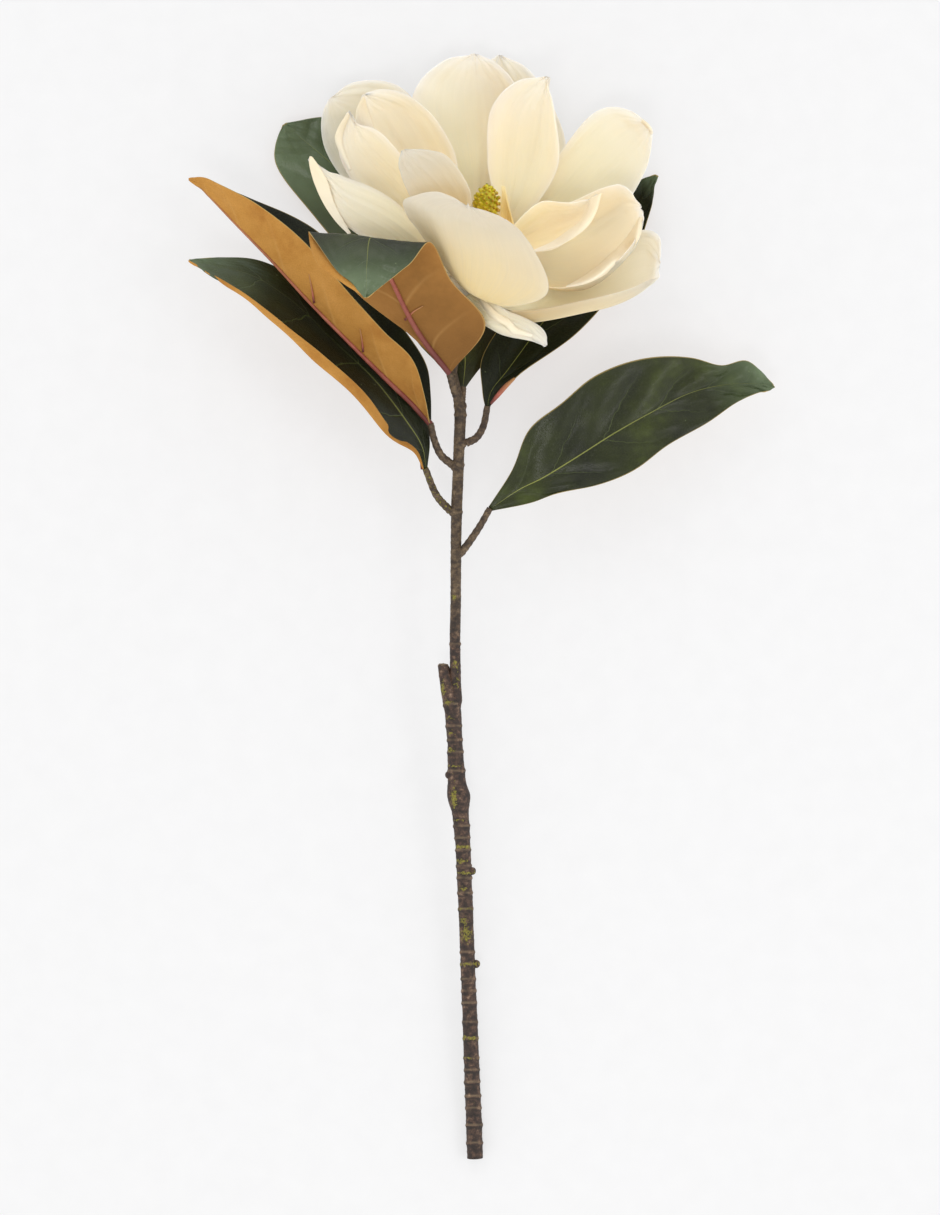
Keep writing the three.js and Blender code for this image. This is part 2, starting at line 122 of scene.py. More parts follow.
def room_light(strength, *tones):
    """Light from all round, in a tone that goes with the height it comes from."""
    world = bpy.data.worlds.new("room")
    bpy.context.scene.world = world
    world.use_nodes = True
    nodes, links = world.node_tree.nodes, world.node_tree.links
    kinds = ("TexCoord", "SeparateXYZ", "ValToRGB")
    place, split, ramp = [nodes.new("ShaderNode" + kind) for kind in kinds]
    for element, (height, tone) in zip(ramp.color_ramp.elements, tones):
        element.position = height
        element.color = (tone, tone, tone, 1.0)
    links.new(place.outputs["Generated"], split.inputs[0])
    links.new(split.outputs[2], ramp.inputs[0])
    links.new(ramp.outputs[0], nodes["Background"].inputs["Color"])
    nodes["Background"].inputs["Strength"].default_value = strength


room_light(1.52, (0.25, 1.0), (0.88, 0.48))
bpy.context.scene.view_settings.view_transform = "Standard"
print("lamps:", len(bpy.data.lights))


# %% [markdown]
# ## Paint box
# Each finish is a node tree. The helpers add a node with its settings and wire sockets, so that the
# trees below read from pattern to shader. Colours are given as they look on a screen.

# %% Node helpers
def paint(code):
    """A screen colour such as #f3ead0 as the linear colour that shaders use."""
    values = [int(code[i:i + 2], 16) / 255 for i in (1, 3, 5)]
    return tuple(v / 12.92 if v < 0.04045 else ((v + 0.055) / 1.055) ** 2.4 for v in values) + (1.0,)


class Finish:
    """A material's node tree, with short calls for the nodes these finishes use."""

    def __init__(self, name):
        self.material = bpy.data.materials.new(name)
        self.material.use_nodes = True
        self.tree = self.material.node_tree
        self.shader = self.tree.nodes["Principled BSDF"]
        coords = self.add("TexCoord", {})
        self.place, self.uv = coords.outputs["Object"], coords.outputs["UV"]

    def feed(self, node, inputs):
        """Gives a node's inputs a number, a colour or another node's output."""
        for key, value in inputs.items():
            if isinstance(value, bpy.types.NodeSocket):
                self.tree.links.new(value, node.inputs[key])
            else:
                node.inputs[key].default_value = value

    def add(self, kind, inputs, **settings):
        one = self.tree.nodes.new("ShaderNode" + kind)
        for name, value in settings.items():
            setattr(one, name, value)
        self.feed(one, inputs)
        return one

    def math(self, operation, *values, clamp=False):
        one = self.add("Math", dict(enumerate(values)), operation=operation, use_clamp=clamp)
        return one.outputs[0]

    def times(self, first, second):
        return self.math("MULTIPLY", first, second)

    def plus(self, first, second):
        return self.math("ADD", first, second)

    def minus(self, first, second):
        return self.math("SUBTRACT", first, second)

    def blend(self, share, first, second):
        return self.add("Mix", {0: share, 6: first, 7: second}, data_type="RGBA").outputs[2]

    def tint(self, skin, colour, share, *shares):
        """Lays a colour over the skin, as strong as all the shares multiplied."""
        for other in shares:
            share = self.times(share, other)
        return self.blend(share, skin, paint(colour))

    def stretch(self, vector, scale):
        return self.add("Mapping", {"Vector": vector, "Scale": scale}).outputs[0]

    def clouds(self, vector, scale, detail=3.0, rough=0.55, warp=0.0):
        return self.add("TexNoise", {"Vector": vector, "Scale": scale, "Detail": detail,
                                     "Roughness": rough, "Distortion": warp}).outputs["Fac"]

    def cells(self, scale, feature="DISTANCE_TO_EDGE"):
        one = self.add("TexVoronoi", {"Vector": self.place, "Scale": scale}, feature=feature)
        return one.outputs["Distance"]

    def painted(self, name):
        """What is painted on the points of the mesh under this name."""
        return self.add("Attribute", {}, attribute_name=name).outputs["Fac"]

    def ramp(self, value, *stops):
        one = self.add("ValToRGB", {0: value})
        band = one.color_ramp
        while len(band.elements) < len(stops):
            band.elements.new(0.5)
        for element, (place, tone) in zip(band.elements, stops):
            element.position = place
            element.color = paint(tone) if isinstance(tone, str) else (tone, tone, tone, 1)
        return one.outputs[0]

    def along_aside(self):
        """Share of the way from foot to tip, and distance from the midrib, 0 to 1."""
        across, along = self.add("SeparateXYZ", {0: self.uv}).outputs[:2]
        return along, self.math("ABSOLUTE", self.minus(self.times(across, 2.0), 1.0))

    def bump(self, height, strength, depth):
        one = self.add("Bump", {"Strength": strength, "Distance": depth, "Height": height})
        self.set(Normal=one.outputs[0])

    def set(self, **inputs):
        self.feed(self.shader, {name.replace("_", " "): value for name, value in inputs.items()})


# %% [markdown]
# ## Petal finish
# A magnolia petal is thick and waxy: cream at the tip, warm yellow towards the foot, with very fine
# lengthwise veins that run out before the tip, and soft broad stains. Light goes a little way into it,
# so the shader scatters light just under the skin. The outer face is less yellow, greyer and darker
# than the inner: partly its own tone, partly painted shade, since the front petals turn it from the
# light.

# %% Petal finishes
def petal_finish(name, foot, middle, tip, shade, grey, depth=0.5):
    f = Finish(name)
    along, aside = f.along_aside()
    skin = f.ramp(along, (0.0, foot), (0.22, foot), (0.52, middle), (0.9, tip))
    stain = f.ramp(f.clouds(f.place, 26.0, 3.0, 0.6), (0.38, 0.0), (0.72, 1.0))
    skin = f.tint(skin, shade, stain, 0.35)
    veins = f.clouds(f.stretch(f.uv, (64.0, 2.2, 1.0)), 1.0, 4.0, 0.62, 0.3)
    calm = f.ramp(along, (0.78, 1.0), (0.94, 0.0))
    veined = f.times(f.ramp(veins, (0.36, 0.0), (0.66, 1.0)), calm)
    skin = f.tint(skin, grey, veined, 0.2)
    skin = f.tint(skin, "#f6eedd", f.ramp(aside, (0.9, 0.0), (1.0, 1.0)), 0.12)
    f.set(Base_Color=skin, Roughness=f.math("MULTIPLY_ADD", veined, 0.12, 0.38),
          Subsurface_Weight=depth, Subsurface_Scale=0.007, Subsurface_Radius=(1.0, 0.87, 0.72),
          Specular_IOR_Level=0.38)
    broad = f.clouds(f.stretch(f.uv, (9.0, 2.0, 1.0)), 1.0, 2.0, 0.5)
    pleats = f.times(f.plus(f.times(veins, 0.3), f.times(broad, 2.3)), calm)
    f.bump(f.plus(pleats, f.times(f.clouds(f.place, 900.0, 2.0, 0.5), 0.1)), 0.3, 0.0011)
    return f.material


petal_inner = petal_finish("petal_inner", "#f8deae", "#f3dfc2", "#eee1d0", "#efdab4", "#e9d6b7", 0.85)
# Painted shade: the outer face is darker and greyer than the inner.
petal_outer_shaded = petal_finish("petal_outer_shaded", "#d8c08c", "#cac1ac", "#d0c9ba", "#c6b99f", "#beb39d")
# Painted highlight: the turned margins are a paler cream than the outer face they show.
petal_turned_lit = petal_finish("petal_turned_lit", "#f4e4c2", "#f5e9cd", "#f6ecd6", "#f2e2c0", "#e9d9b6", 0.1)
petal_sliver = petal_finish("petal_sliver", "#e6c77c", "#e8cd86", "#eed79c", "#e2c071", "#dcb86a", 0.1)

# %% [markdown]
# ## Leaf finishes
# The upper face is dark, leathery and glossy, with a yellow-green midrib, sunken side veins and a fine
# net between them; painted shade darkens the creases along the side veins, and a grey-green painted
# sheen is laid on towards the tip. The underside is felt: rust brown, with no gloss but a soft sheen,
# darkened towards the foot with painted shade, and a thick pink midrib stands out of it. Side veins
# run out and forward, so they are lines in along and aside.

# %% Upper face
VEINS = 8
SLANT = 0.13


def vein_mask(f, along, aside, width):
    """1 on the side veins: lines that leave the midrib and lean to the tip."""
    place = f.times(f.minus(along, f.times(aside, SLANT)), VEINS)
    off = f.math("ABSOLUTE", f.minus(f.math("FRACT", place), 0.5))
    return f.math("SUBTRACT", 1.0, f.math("DIVIDE", off, width), clamp=True)


def leaf_upper_finish(name, dark, mid, pale, midrib, gloss, sheen_from, rib_to=0.7):
    f = Finish(name)
    along, aside = f.along_aside()
    skin = f.ramp(f.clouds(f.place, 22.0, 4.0, 0.6), (0.32, dark), (0.55, mid), (0.78, pale))
    wander = f.math("MULTIPLY_ADD", f.minus(f.clouds(f.place, 140.0, 2.0, 0.5), 0.5), 0.025, along)
    veins = vein_mask(f, wander, aside, 0.02)
    veins = f.times(veins, f.ramp(aside, (0.0, 1.0), (0.4, 0.6), (0.75, 0.0)))
    skin = f.tint(skin, "#6f7c3c", veins, 0.4)
    # Painted shade: darker along the sunken side veins, between the swellings.
    vein_crease_shade = vein_mask(f, along, aside, 0.26)
    skin = f.tint(skin, "#0d1208", vein_crease_shade, f.ramp(aside, (0.0, 0.8), (0.9, 0.0)), 0.5)
    # Painted sheen: a pale grey-green laid on towards the tip, where the leaf mirrors the light.
    painted_sheen = f.ramp(along, (sheen_from, 0.0), (sheen_from + 0.3, 1.0))
    skin = f.tint(skin, "#637455", painted_sheen, f.ramp(f.clouds(f.place, 30.0), (0.3, 0.55), (0.7, 1.0)))
    net = f.ramp(f.cells(620.0), (0.0, 0.0), (0.06, 1.0))
    skin = f.tint(skin, "#4f5729", f.minus(1.0, net), 0.14)
    taper = f.ramp(along, (0.0, 0.024), (0.45, 0.011), (1.0, 0.006))
    rib = f.math("SUBTRACT", 1.0, f.math("DIVIDE", aside, taper), clamp=True)
    rib = f.ramp(rib, (0.0, 0.0), (0.4, 1.0))
    skin = f.tint(skin, "#8b8f45", rib, f.ramp(along, (0.0, 0.95), (rib_to, midrib), (1.0, 0.15)))
    rim = f.math("MAXIMUM", f.ramp(aside, (0.975, 0.0), (0.992, 1.0)),
                 f.ramp(along, (0.975, 0.0), (0.99, 1.0)))
    skin = f.tint(skin, "#a38e55", rim, 0.8)
    skin = f.tint(skin, "#8b9a6c", f.ramp(f.cells(95.0, "F1"), (0.03, 1.0), (0.05, 0.0)), 0.25)
    rough = f.math("MULTIPLY_ADD", f.clouds(f.place, 55.0, 3.0, 0.6), 0.12, 0.27)
    f.set(Base_Color=skin, Roughness=rough, Specular_IOR_Level=gloss)
    height = f.plus(f.times(veins, -0.9), f.plus(f.times(net, 0.28), f.times(rib, -1.2)))
    f.bump(f.plus(height, f.times(f.clouds(f.place, 60.0, 2.0, 0.5), 0.3)), 0.4, 0.0007)
    return f.material


UPPERS = {
    "leaf_upper": ("#131704", "#262c08", "#455017", 0.3, 0.3, 0.55),
    # A darker copy of the upper face: painted shade for the leaves that lie in shade.
    "leaf_upper_shaded": ("#0d1003", "#141806", "#222a0d", 0.08, 0.18, 0.7),
    "leaf_upper_low": ("#0d1003", "#171c09", "#2a3212", 0.05, 0.32, 0.52, 0.35),
    # Painted sheen over most of this leaf, from a quarter of the way out.
    "leaf_upper_wide_sheen": ("#161905", "#262b0a", "#414a16", 0.25, 0.4, 0.25),
    "leaf_upper_folded": ("#141704", "#232808", "#3c4513", 0.25, 0.4, 0.46),
}
leaf_uppers = {name: leaf_upper_finish(name, *look) for name, look in UPPERS.items()}
print("upper faces:", len(leaf_uppers))


# %% Felted underside and pink midrib
def leaf_under_finish(name, low, mid, high, foot_shade):
    f = Finish(name)
    along, aside = f.along_aside()
    felt = f.ramp(f.clouds(f.place, 34.0, 4.0, 0.65), (0.3, low), (0.52, mid), (0.75, high))
    # Painted shade: the felt darkens towards the foot.
    felt = f.tint(felt, "#5a3c1c", f.ramp(along, (0.05, 1.0), (0.4, 0.0)), foot_shade)
    nap = f.clouds(f.place, 1500.0, 2.0, 0.6)
    felt = f.tint(felt, "#8b5f2b", f.ramp(nap, (0.35, 0.0), (0.7, 1.0)), 0.35)
    ridge = f.times(vein_mask(f, along, aside, 0.06), f.ramp(aside, (0.0, 1.0), (0.8, 0.2), (1.0, 0.0)))
    felt = f.tint(felt, "#d0a566", ridge, 0.22)
    felt = f.tint(felt, "#c7a565", f.ramp(aside, (0.975, 0.0), (0.995, 1.0)), 0.6)
    f.set(Base_Color=felt, Roughness=0.88, Specular_IOR_Level=0.2,
          Sheen_Weight=0.25, Sheen_Roughness=0.5, Sheen_Tint=paint("#e0b070"))
    f.bump(f.plus(ridge, f.times(nap, 0.5)), 0.4, 0.0005)
    return f.material


def midrib_finish():
    f = Finish("midrib_pink")
    along = f.along_aside()[0]
    spots = f.clouds(f.place, 90.0, 3.0, 0.6)
    skin = f.ramp(spots, (0.3, "#8a4336"), (0.55, "#a85d4c"), (0.8, "#ba7b5d"))
    skin = f.tint(skin, "#66302a", f.ramp(along, (0.07, 1.0), (0.28, 0.0)))
    skin = f.tint(skin, "#a9794a", f.ramp(along, (0.3, 0.0), (0.8, 1.0)))
    f.set(Base_Color=skin, Roughness=0.55, Specular_IOR_Level=0.4)
    f.bump(f.clouds(f.place, 700.0, 2.0, 0.6), 0.3, 0.0004)
    return f.material


leaf_under = leaf_under_finish("leaf_under", "#a66f2e", "#ba863f", "#c4904b", 0.3)
# A darker copy with more painted shade at the foot, for the front leaf that lies under the bloom.
leaf_under_shaded = leaf_under_finish("leaf_under_shaded", "#8c622f", "#a27239", "#ac7c42", 0.75)
midrib_pink = midrib_finish()


# %% [markdown]
# ## Bark finish
# The old wood is grey brown with paler raised scars, fine cross wrinkles and yellow-green moss in the
# scars; the young shoot is olive brown. A band of painted shade lies just below each raised ring. All
# come from three painted attributes, moss, young and scar, which are laid on the mesh where the twig is
# made; scar carries the painted shade too.

# %% Bark
def bark_finish():
    f = Finish("bark")
    scar = f.painted("scar")
    wrinkle = f.clouds(f.stretch(f.place, (160.0, 900.0, 160.0)), 1.0, 3.0, 0.65, 0.4)
    fleck = f.clouds(f.place, 260.0, 4.0, 0.7)
    old = f.ramp(fleck, (0.34, "#170e08"), (0.47, "#30211a"), (0.59, "#553e30"), (0.73, "#917760"))
    green = f.ramp(fleck, (0.31, "#251a11"), (0.46, "#453625"), (0.61, "#68563e"), (0.75, "#988466"))
    wood = f.blend(f.painted("young"), old, green)
    wood = f.tint(wood, "#2f2520", f.ramp(wrinkle, (0.35, 1.0), (0.6, 0.0)), 0.4)
    wood = f.tint(wood, "#a8906f", f.ramp(scar, (0.55, 0.0), (1.0, 0.32)))
    # Where scar is low the wood darkens: painted shade just below each raised ring, and the dark nodes.
    wood = f.tint(wood, "#1a120d", f.ramp(scar, (0.0, 0.85), (0.45, 0.0)))
    tuft = f.minus(f.clouds(f.place, 640.0, 3.0, 0.7), 0.5)
    patch = f.math("MULTIPLY_ADD", f.painted("moss"), 0.8, f.times(tuft, 2.0))
    cover = f.ramp(patch, (0.4, 0.0), (0.56, 1.0))
    spots = f.clouds(f.place, 1200.0, 2.0, 0.6)
    moss = f.ramp(spots, (0.3, "#5e591b"), (0.6, "#88802b"), (0.8, "#aca24b"))
    wood = f.blend(f.times(cover, 0.85), wood, moss)
    f.set(Base_Color=wood, Roughness=0.66, Specular_IOR_Level=0.45)
    height = f.plus(f.times(wrinkle, 0.7), f.plus(f.times(fleck, 0.8), f.times(cover, 0.5)))
    f.bump(height, 0.6, 0.0009)
    return f.material


bark = bark_finish()


# %% Heart of the bloom
def heart_finish(name, low, mid, top, ends):
    f = Finish(name)
    skin = f.ramp(f.clouds(f.place, 180.0, 3.0, 0.6), (0.3, low), (0.5, mid), (0.75, top))
    skin = f.tint(skin, ends, f.ramp(f.painted("reach"), (0.55, 0.0), (0.9, 1.0)))
    f.set(Base_Color=skin, Roughness=0.5, Subsurface_Weight=0.08, Subsurface_Scale=0.002)
    f.bump(f.clouds(f.place, 1100.0, 2.0, 0.6), 0.35, 0.0004)
    return f.material


pistil_skin = heart_finish("pistil_skin", "#8f8a10", "#c6b818", "#e8d83a", "#b9861e")
receptacle_skin = heart_finish("receptacle_skin", "#aaa868", "#bfbd82", "#d3d0a0", "#bfbd82")
stamen_skin = heart_finish("stamen_skin", "#d3b04b", "#e2c565", "#efe0a2", "#c58a3a")


# %% Floor
def make_floor():
    bpy.ops.mesh.primitive_grid_add(x_subdivisions=4, y_subdivisions=4, size=8.0,
                                    location=(0, 0, -0.0005))
    floor = bpy.context.object
    floor.name = "floor"
    f = Finish("floor_paper")
    tone = f.ramp(f.clouds(f.place, 60.0, 3.0, 0.5), (0.3, "#939394"), (0.7, "#969697"))
    f.set(Base_Color=tone, Roughness=0.95, Specular_IOR_Level=0.1, Emission_Color=paint("#ffffff"),
          Emission_Strength=0.565)
    f.bump(f.clouds(f.place, 700.0, 2.0, 0.5), 0.05, 0.0003)
    floor.data.materials.append(f.material)


make_floor()
print("finishes:", len(bpy.data.materials))

# %% [markdown]
# ## Blades
# A petal or leaf is one thin skin through three rails: edge, midrib and edge. A flat grid is added,
# and its points are laid on the skin by their own row and column, so that the grid's UV map runs from
# foot to tip and from edge to edge. Solidify then gives the wall and one subdivision rounds the rim.
# Bending a grid by hand could never hit rails that were measured on the view; the rule does.

# %% A smooth rail through its stations
def rail_point(points, share):
    last = len(points) - 1
    place = share * last
    first = min(int(place), last - 1)
    part = place - first
    p1, p2 = points[first], points[first + 1]
    p0 = points[first - 1] if first > 0 else 2 * points[0] - points[1]
    p3 = points[first + 2] if first + 2 <= last else 2 * points[last] - points[last - 1]
    d0, d1, d2 = [max((b - a).length, 1e-4) ** 0.5 for a, b in ((p0, p1), (p1, p2), (p2, p3))]
    t1 = ((p1 - p0) / d0 - (p2 - p0) / (d0 + d1) + (p2 - p1) / d1) * d1
    t2 = ((p2 - p1) / d1 - (p3 - p1) / (d1 + d2) + (p3 - p2) / d2) * d1
    return (p1 + t1 * part + (3 * (p2 - p1) - 2 * t1 - t2) * part ** 2
            + (2 * (p1 - p2) + t1 + t2) * part ** 3)


# %% The skin of a blade
PLAIN = {"fold": 0.0, "belly": (0.0, 0.0), "wave": 0.0, "beats": 2.0, "cushion": 0.0, "curl": 0.0,
         "crumple": 0.0, "pleat": 0.0, "dent": (0.0, 0.2, 0.7)}


def blade_grid(rails, look, rows, cols):
    """The skin through three rails, with its rows closer together towards the tip."""
    grid = []
    for i in range(rows + 1):
        share = i / rows
        along = 0.6 * share + 0.4 * math.sin(share * math.pi / 2)
        left, middle, right = [rail_point(rail, along) for rail in rails]
        row = []
        for j in range(cols + 1):
            across = 2 * j / cols - 1
            bow = (1 - look["fold"]) * across * across + look["fold"] * abs(across)
            reach = across + look["belly"][1 if across > 0 else 0] * math.sin(math.pi * across)
            row.append(middle * (1 - bow) + left * ((bow - reach) / 2) + right * ((bow + reach) / 2))
        grid.append(row)
    return grid


def grid_normals(grid):
    last, side = len(grid) - 1, len(grid[0]) - 1
    normals = []
    for i, row in enumerate(grid):
        lines = []
        for j in range(side + 1):
            along = grid[min(i + 1, last)][j] - grid[max(i - 1, 0)][j]
            across = row[min(j + 1, side)] - row[max(j - 1, 0)]
            lines.append(along.cross(across).normalized())
        normals.append(lines)
    return normals


def facing(normals, direction):
    """1 if the grid's normals look mostly this way, -1 if they look away."""
    return 1.0 if sum(line.dot(direction) for row in normals for line in row) > 0 else -1.0


def wave_grid(grid, look, seed, inner):
    """Edge waves, cushions between the side veins, soft crumples and lengthwise pleats, a finely uneven
    margin, a dent at the tip and a tip that curls to the inner side."""
    normals = grid_normals(grid)
    rows, cols = len(grid) - 1, len(grid[0]) - 1
    way = facing(normals, inner)
    depth, width, start = look["dent"]
    for i, row in enumerate(grid):
        share = i / rows
        fade = math.sin(math.pi * min(1.0, share * 1.05))
        near_tip = max(0.0, (share - start) / (1 - start)) ** 1.5
        for j in range(cols + 1):
            across = 2 * j / cols - 1
            aside = abs(across)
            phase = 0.0 if across > 0 else 2.1
            wave = look["wave"] * aside ** 3 * math.sin(2 * math.pi * look["beats"] * share + phase)
            cushion = abs(math.sin(math.pi * (VEINS * (share - SLANT * aside) + 0.5)))
            ripple = way * look["cushion"] * 4 * aside * (1 - aside) * (cushion - 0.6)
            soft = noise.noise(Vector((across * 1.7 + seed, share * 3.1, seed))) * look["crumple"]
            soft += noise.noise(Vector((across * 6.5, share * 1.6, seed + 9))) * look["pleat"]
            soft += noise.noise(Vector((across * 2, share * 14, seed + 5))) * 0.8 * aside ** 6
            soft *= min(1.0, share * 3)
            soft -= depth * math.exp(-(across / width) ** 2) * near_tip
            soft += look["curl"] * max(0.0, (share - 0.8) / 0.2) ** 2
            row[j] = row[j] + normals[i][j] * ((wave + ripple) * fade + way * soft)


# %% From skin to piece
def only(piece):
    """Selects one piece and nothing else."""
    bpy.ops.object.select_all(action="DESELECT")
    piece.select_set(True)
    bpy.context.view_layer.objects.active = piece


def finish_with(piece, kind, **settings):
    """Adds one modifier and applies it."""
    modifier = piece.modifiers.new(kind.lower(), kind)
    for key, value in settings.items():
        setattr(modifier, key, value)
    only(piece)
    bpy.ops.object.modifier_apply(modifier=modifier.name)


def grid_piece(name, rows, cols):
    """A flat grid, and for each of its points its row and column."""
    bpy.ops.mesh.primitive_grid_add(x_subdivisions=cols, y_subdivisions=rows, size=1.0, calc_uvs=True)
    piece = bpy.context.object
    piece.name = name
    places = [(round((v.co.y + 0.5) * rows), round((v.co.x + 0.5) * cols)) for v in piece.data.vertices]
    return piece, places


# Where the wall starts to thin, towards the sides and the tip, and over how much of the way
THIN_SIDES = (0.55, 0.45)
THIN_TIP = (0.85, 0.15)


def blade_piece(name, grid, thick, thin_rim, inner, outer, side):
    """Lays a grid on the skin, gives it a wall that thins to the rim and paints its two faces. Side is
    the way the inner face looks: a blade whose normals run the other way gets its paints swapped."""
    rows, cols = len(grid) - 1, len(grid[0]) - 1
    piece, places = grid_piece(name, rows, cols)
    wall = piece.vertex_groups.new(name="wall")
    for vertex, (i, j) in zip(piece.data.vertices, places):
        vertex.co = settled(grid[i][j])
        edge = max(0.0, (abs(2 * j / cols - 1) - THIN_SIDES[0]) / THIN_SIDES[1],
                   (i / rows - THIN_TIP[0]) / THIN_TIP[1])
        wall.add([vertex.index], 1.0 - (1.0 - thin_rim) * min(1.0, edge) ** 2, "REPLACE")
    piece.data.update()
    before = [polygon.normal.copy() for polygon in piece.data.polygons]
    for finish in (inner, outer):
        piece.data.materials.append(finish)
    finish_with(piece, "SOLIDIFY", thickness=thick / 1000.0, offset=0.0, vertex_group="wall",
                thickness_vertex_group=0.0, material_offset=1, material_offset_rim=0)
    kept = piece.data.polygons[len(before) // 2].normal.dot(before[len(before) // 2]) > 0
    ups = sum(normal.dot(side) for normal in before) > 0
    if kept != ups:
        for polygon in piece.data.polygons:
            polygon.material_index = 1 - polygon.material_index
    finish_with(piece, "SUBSURF", levels=1, render_levels=1)
    piece.data.shade_smooth()
    return piece


# %% [markdown]
# ## The bloom's axes
# The bloom looks up and out of the branch, a third of the way towards the eye. Petals leave rings round
# its core, outermost ring lowest, at an angle: 0 right, 90 front, 180 left, 270 back.

# %% Axes, and how a blade starts and ends
CLAW_RING = 7.95
CLAW_HALF = 3.9
WHORLS = [-14, -10, -6, -2, 2.2]
HEART = spot((482, 250, 66))
AXIS = Vector((0.08, 0.83, 0.55)).normalized()
RIGHT = AXIS.cross(Vector((0, -0.55, 0.83)).normalized()).normalized()
FRONT = RIGHT.cross(AXIS).normalized()


def on_axis(height, radius, degrees):
    turn = math.radians(degrees)
    return HEART + AXIS * height + RIGHT * (radius * math.cos(turn)) + FRONT * (radius * math.sin(turn))


def rails_of(shape):
    """The three lines of stations of a blade, as seen on the front view."""
    return [[spot(station) for station in shape[rail]] for rail in ("left", "middle", "right")]


def close_blade(rails, feet, shape, end, blunt):
    """The rails start at their feet. Both edges run over a shoulder and meet the midrib at the tip."""
    for rail, foot in zip(rails, feet):
        rail.insert(0, foot)
    left, middle, right = rails
    centre, tip = middle[-1].copy(), spot(shape["tip"])
    aside = (right[-1] - left[-1]).normalized() * end
    for side, edge, way in ((0, left, -1), (1, right, 1)):
        shoulder = edge[-1].lerp(tip, 0.55) + (edge[-1] - centre) * shape.get("blunt", blunt)
        if "shoulders" in shape:
            shoulder = spot(shape["shoulders"][side])
        edge.extend([shoulder, tip + aside * way])
    middle.extend([centre.lerp(tip, 0.6), tip])


# %% [markdown]
# ## Turned margins
# Some margins roll over, so that a narrow strip of the other face shows. Folding the grid itself would
# crease it, so the strip is a small blade of its own: its first edge lies on the margin, its crest
# stands a little proud and its free edge comes down on the face. Its height is read off the blade, or
# given as it is where the blade under it is too steep for that. On petals the strip is a paler cream
# than the outer face it shows, a painted highlight where the rolled margin catches the light.

# %% A strip on a blade
MOST_LIFT = 20
STRIP_THICK = 0.8
STRIP_RIM = 0.7
STRIP_GRID = (30, 8)


def view_of(point):
    """Where a point is seen on the front view."""
    scale = step_at(point.z)
    return point.x / scale + CENTRE[0], CENTRE[1] - point.y / scale


def on_blade(grid, across, down, lift):
    """The place on the blade, on its upper layer, that is seen at this spot, and a lift over it."""
    seen = []
    for point in sum(grid, []):
        x, y = view_of(point)
        seen.append((math.hypot(x - across, y - down), point.z))
    nearest = min(seen)[0]
    height = max(z for away, z in seen if away < nearest + 1.5)
    return spot((across, down, height + lift))


def turned_margin(name, grid, edges, finish):
    """A third value over the most lift is a height of its own."""
    rails = [[spot(station) if station[2] > MOST_LIFT else on_blade(grid, *station) for station in edge]
             for edge in edges]
    strip = blade_grid(rails, PLAIN, *STRIP_GRID)
    return blade_piece(name, strip, STRIP_THICK, STRIP_RIM, finish, finish, Vector((0, 0, 1)))


def joined(pieces, name):
    only(pieces[0])
    for piece in pieces[1:]:
        piece.select_set(True)
    bpy.ops.object.join()
    pieces[0].name = name
    return pieces[0]


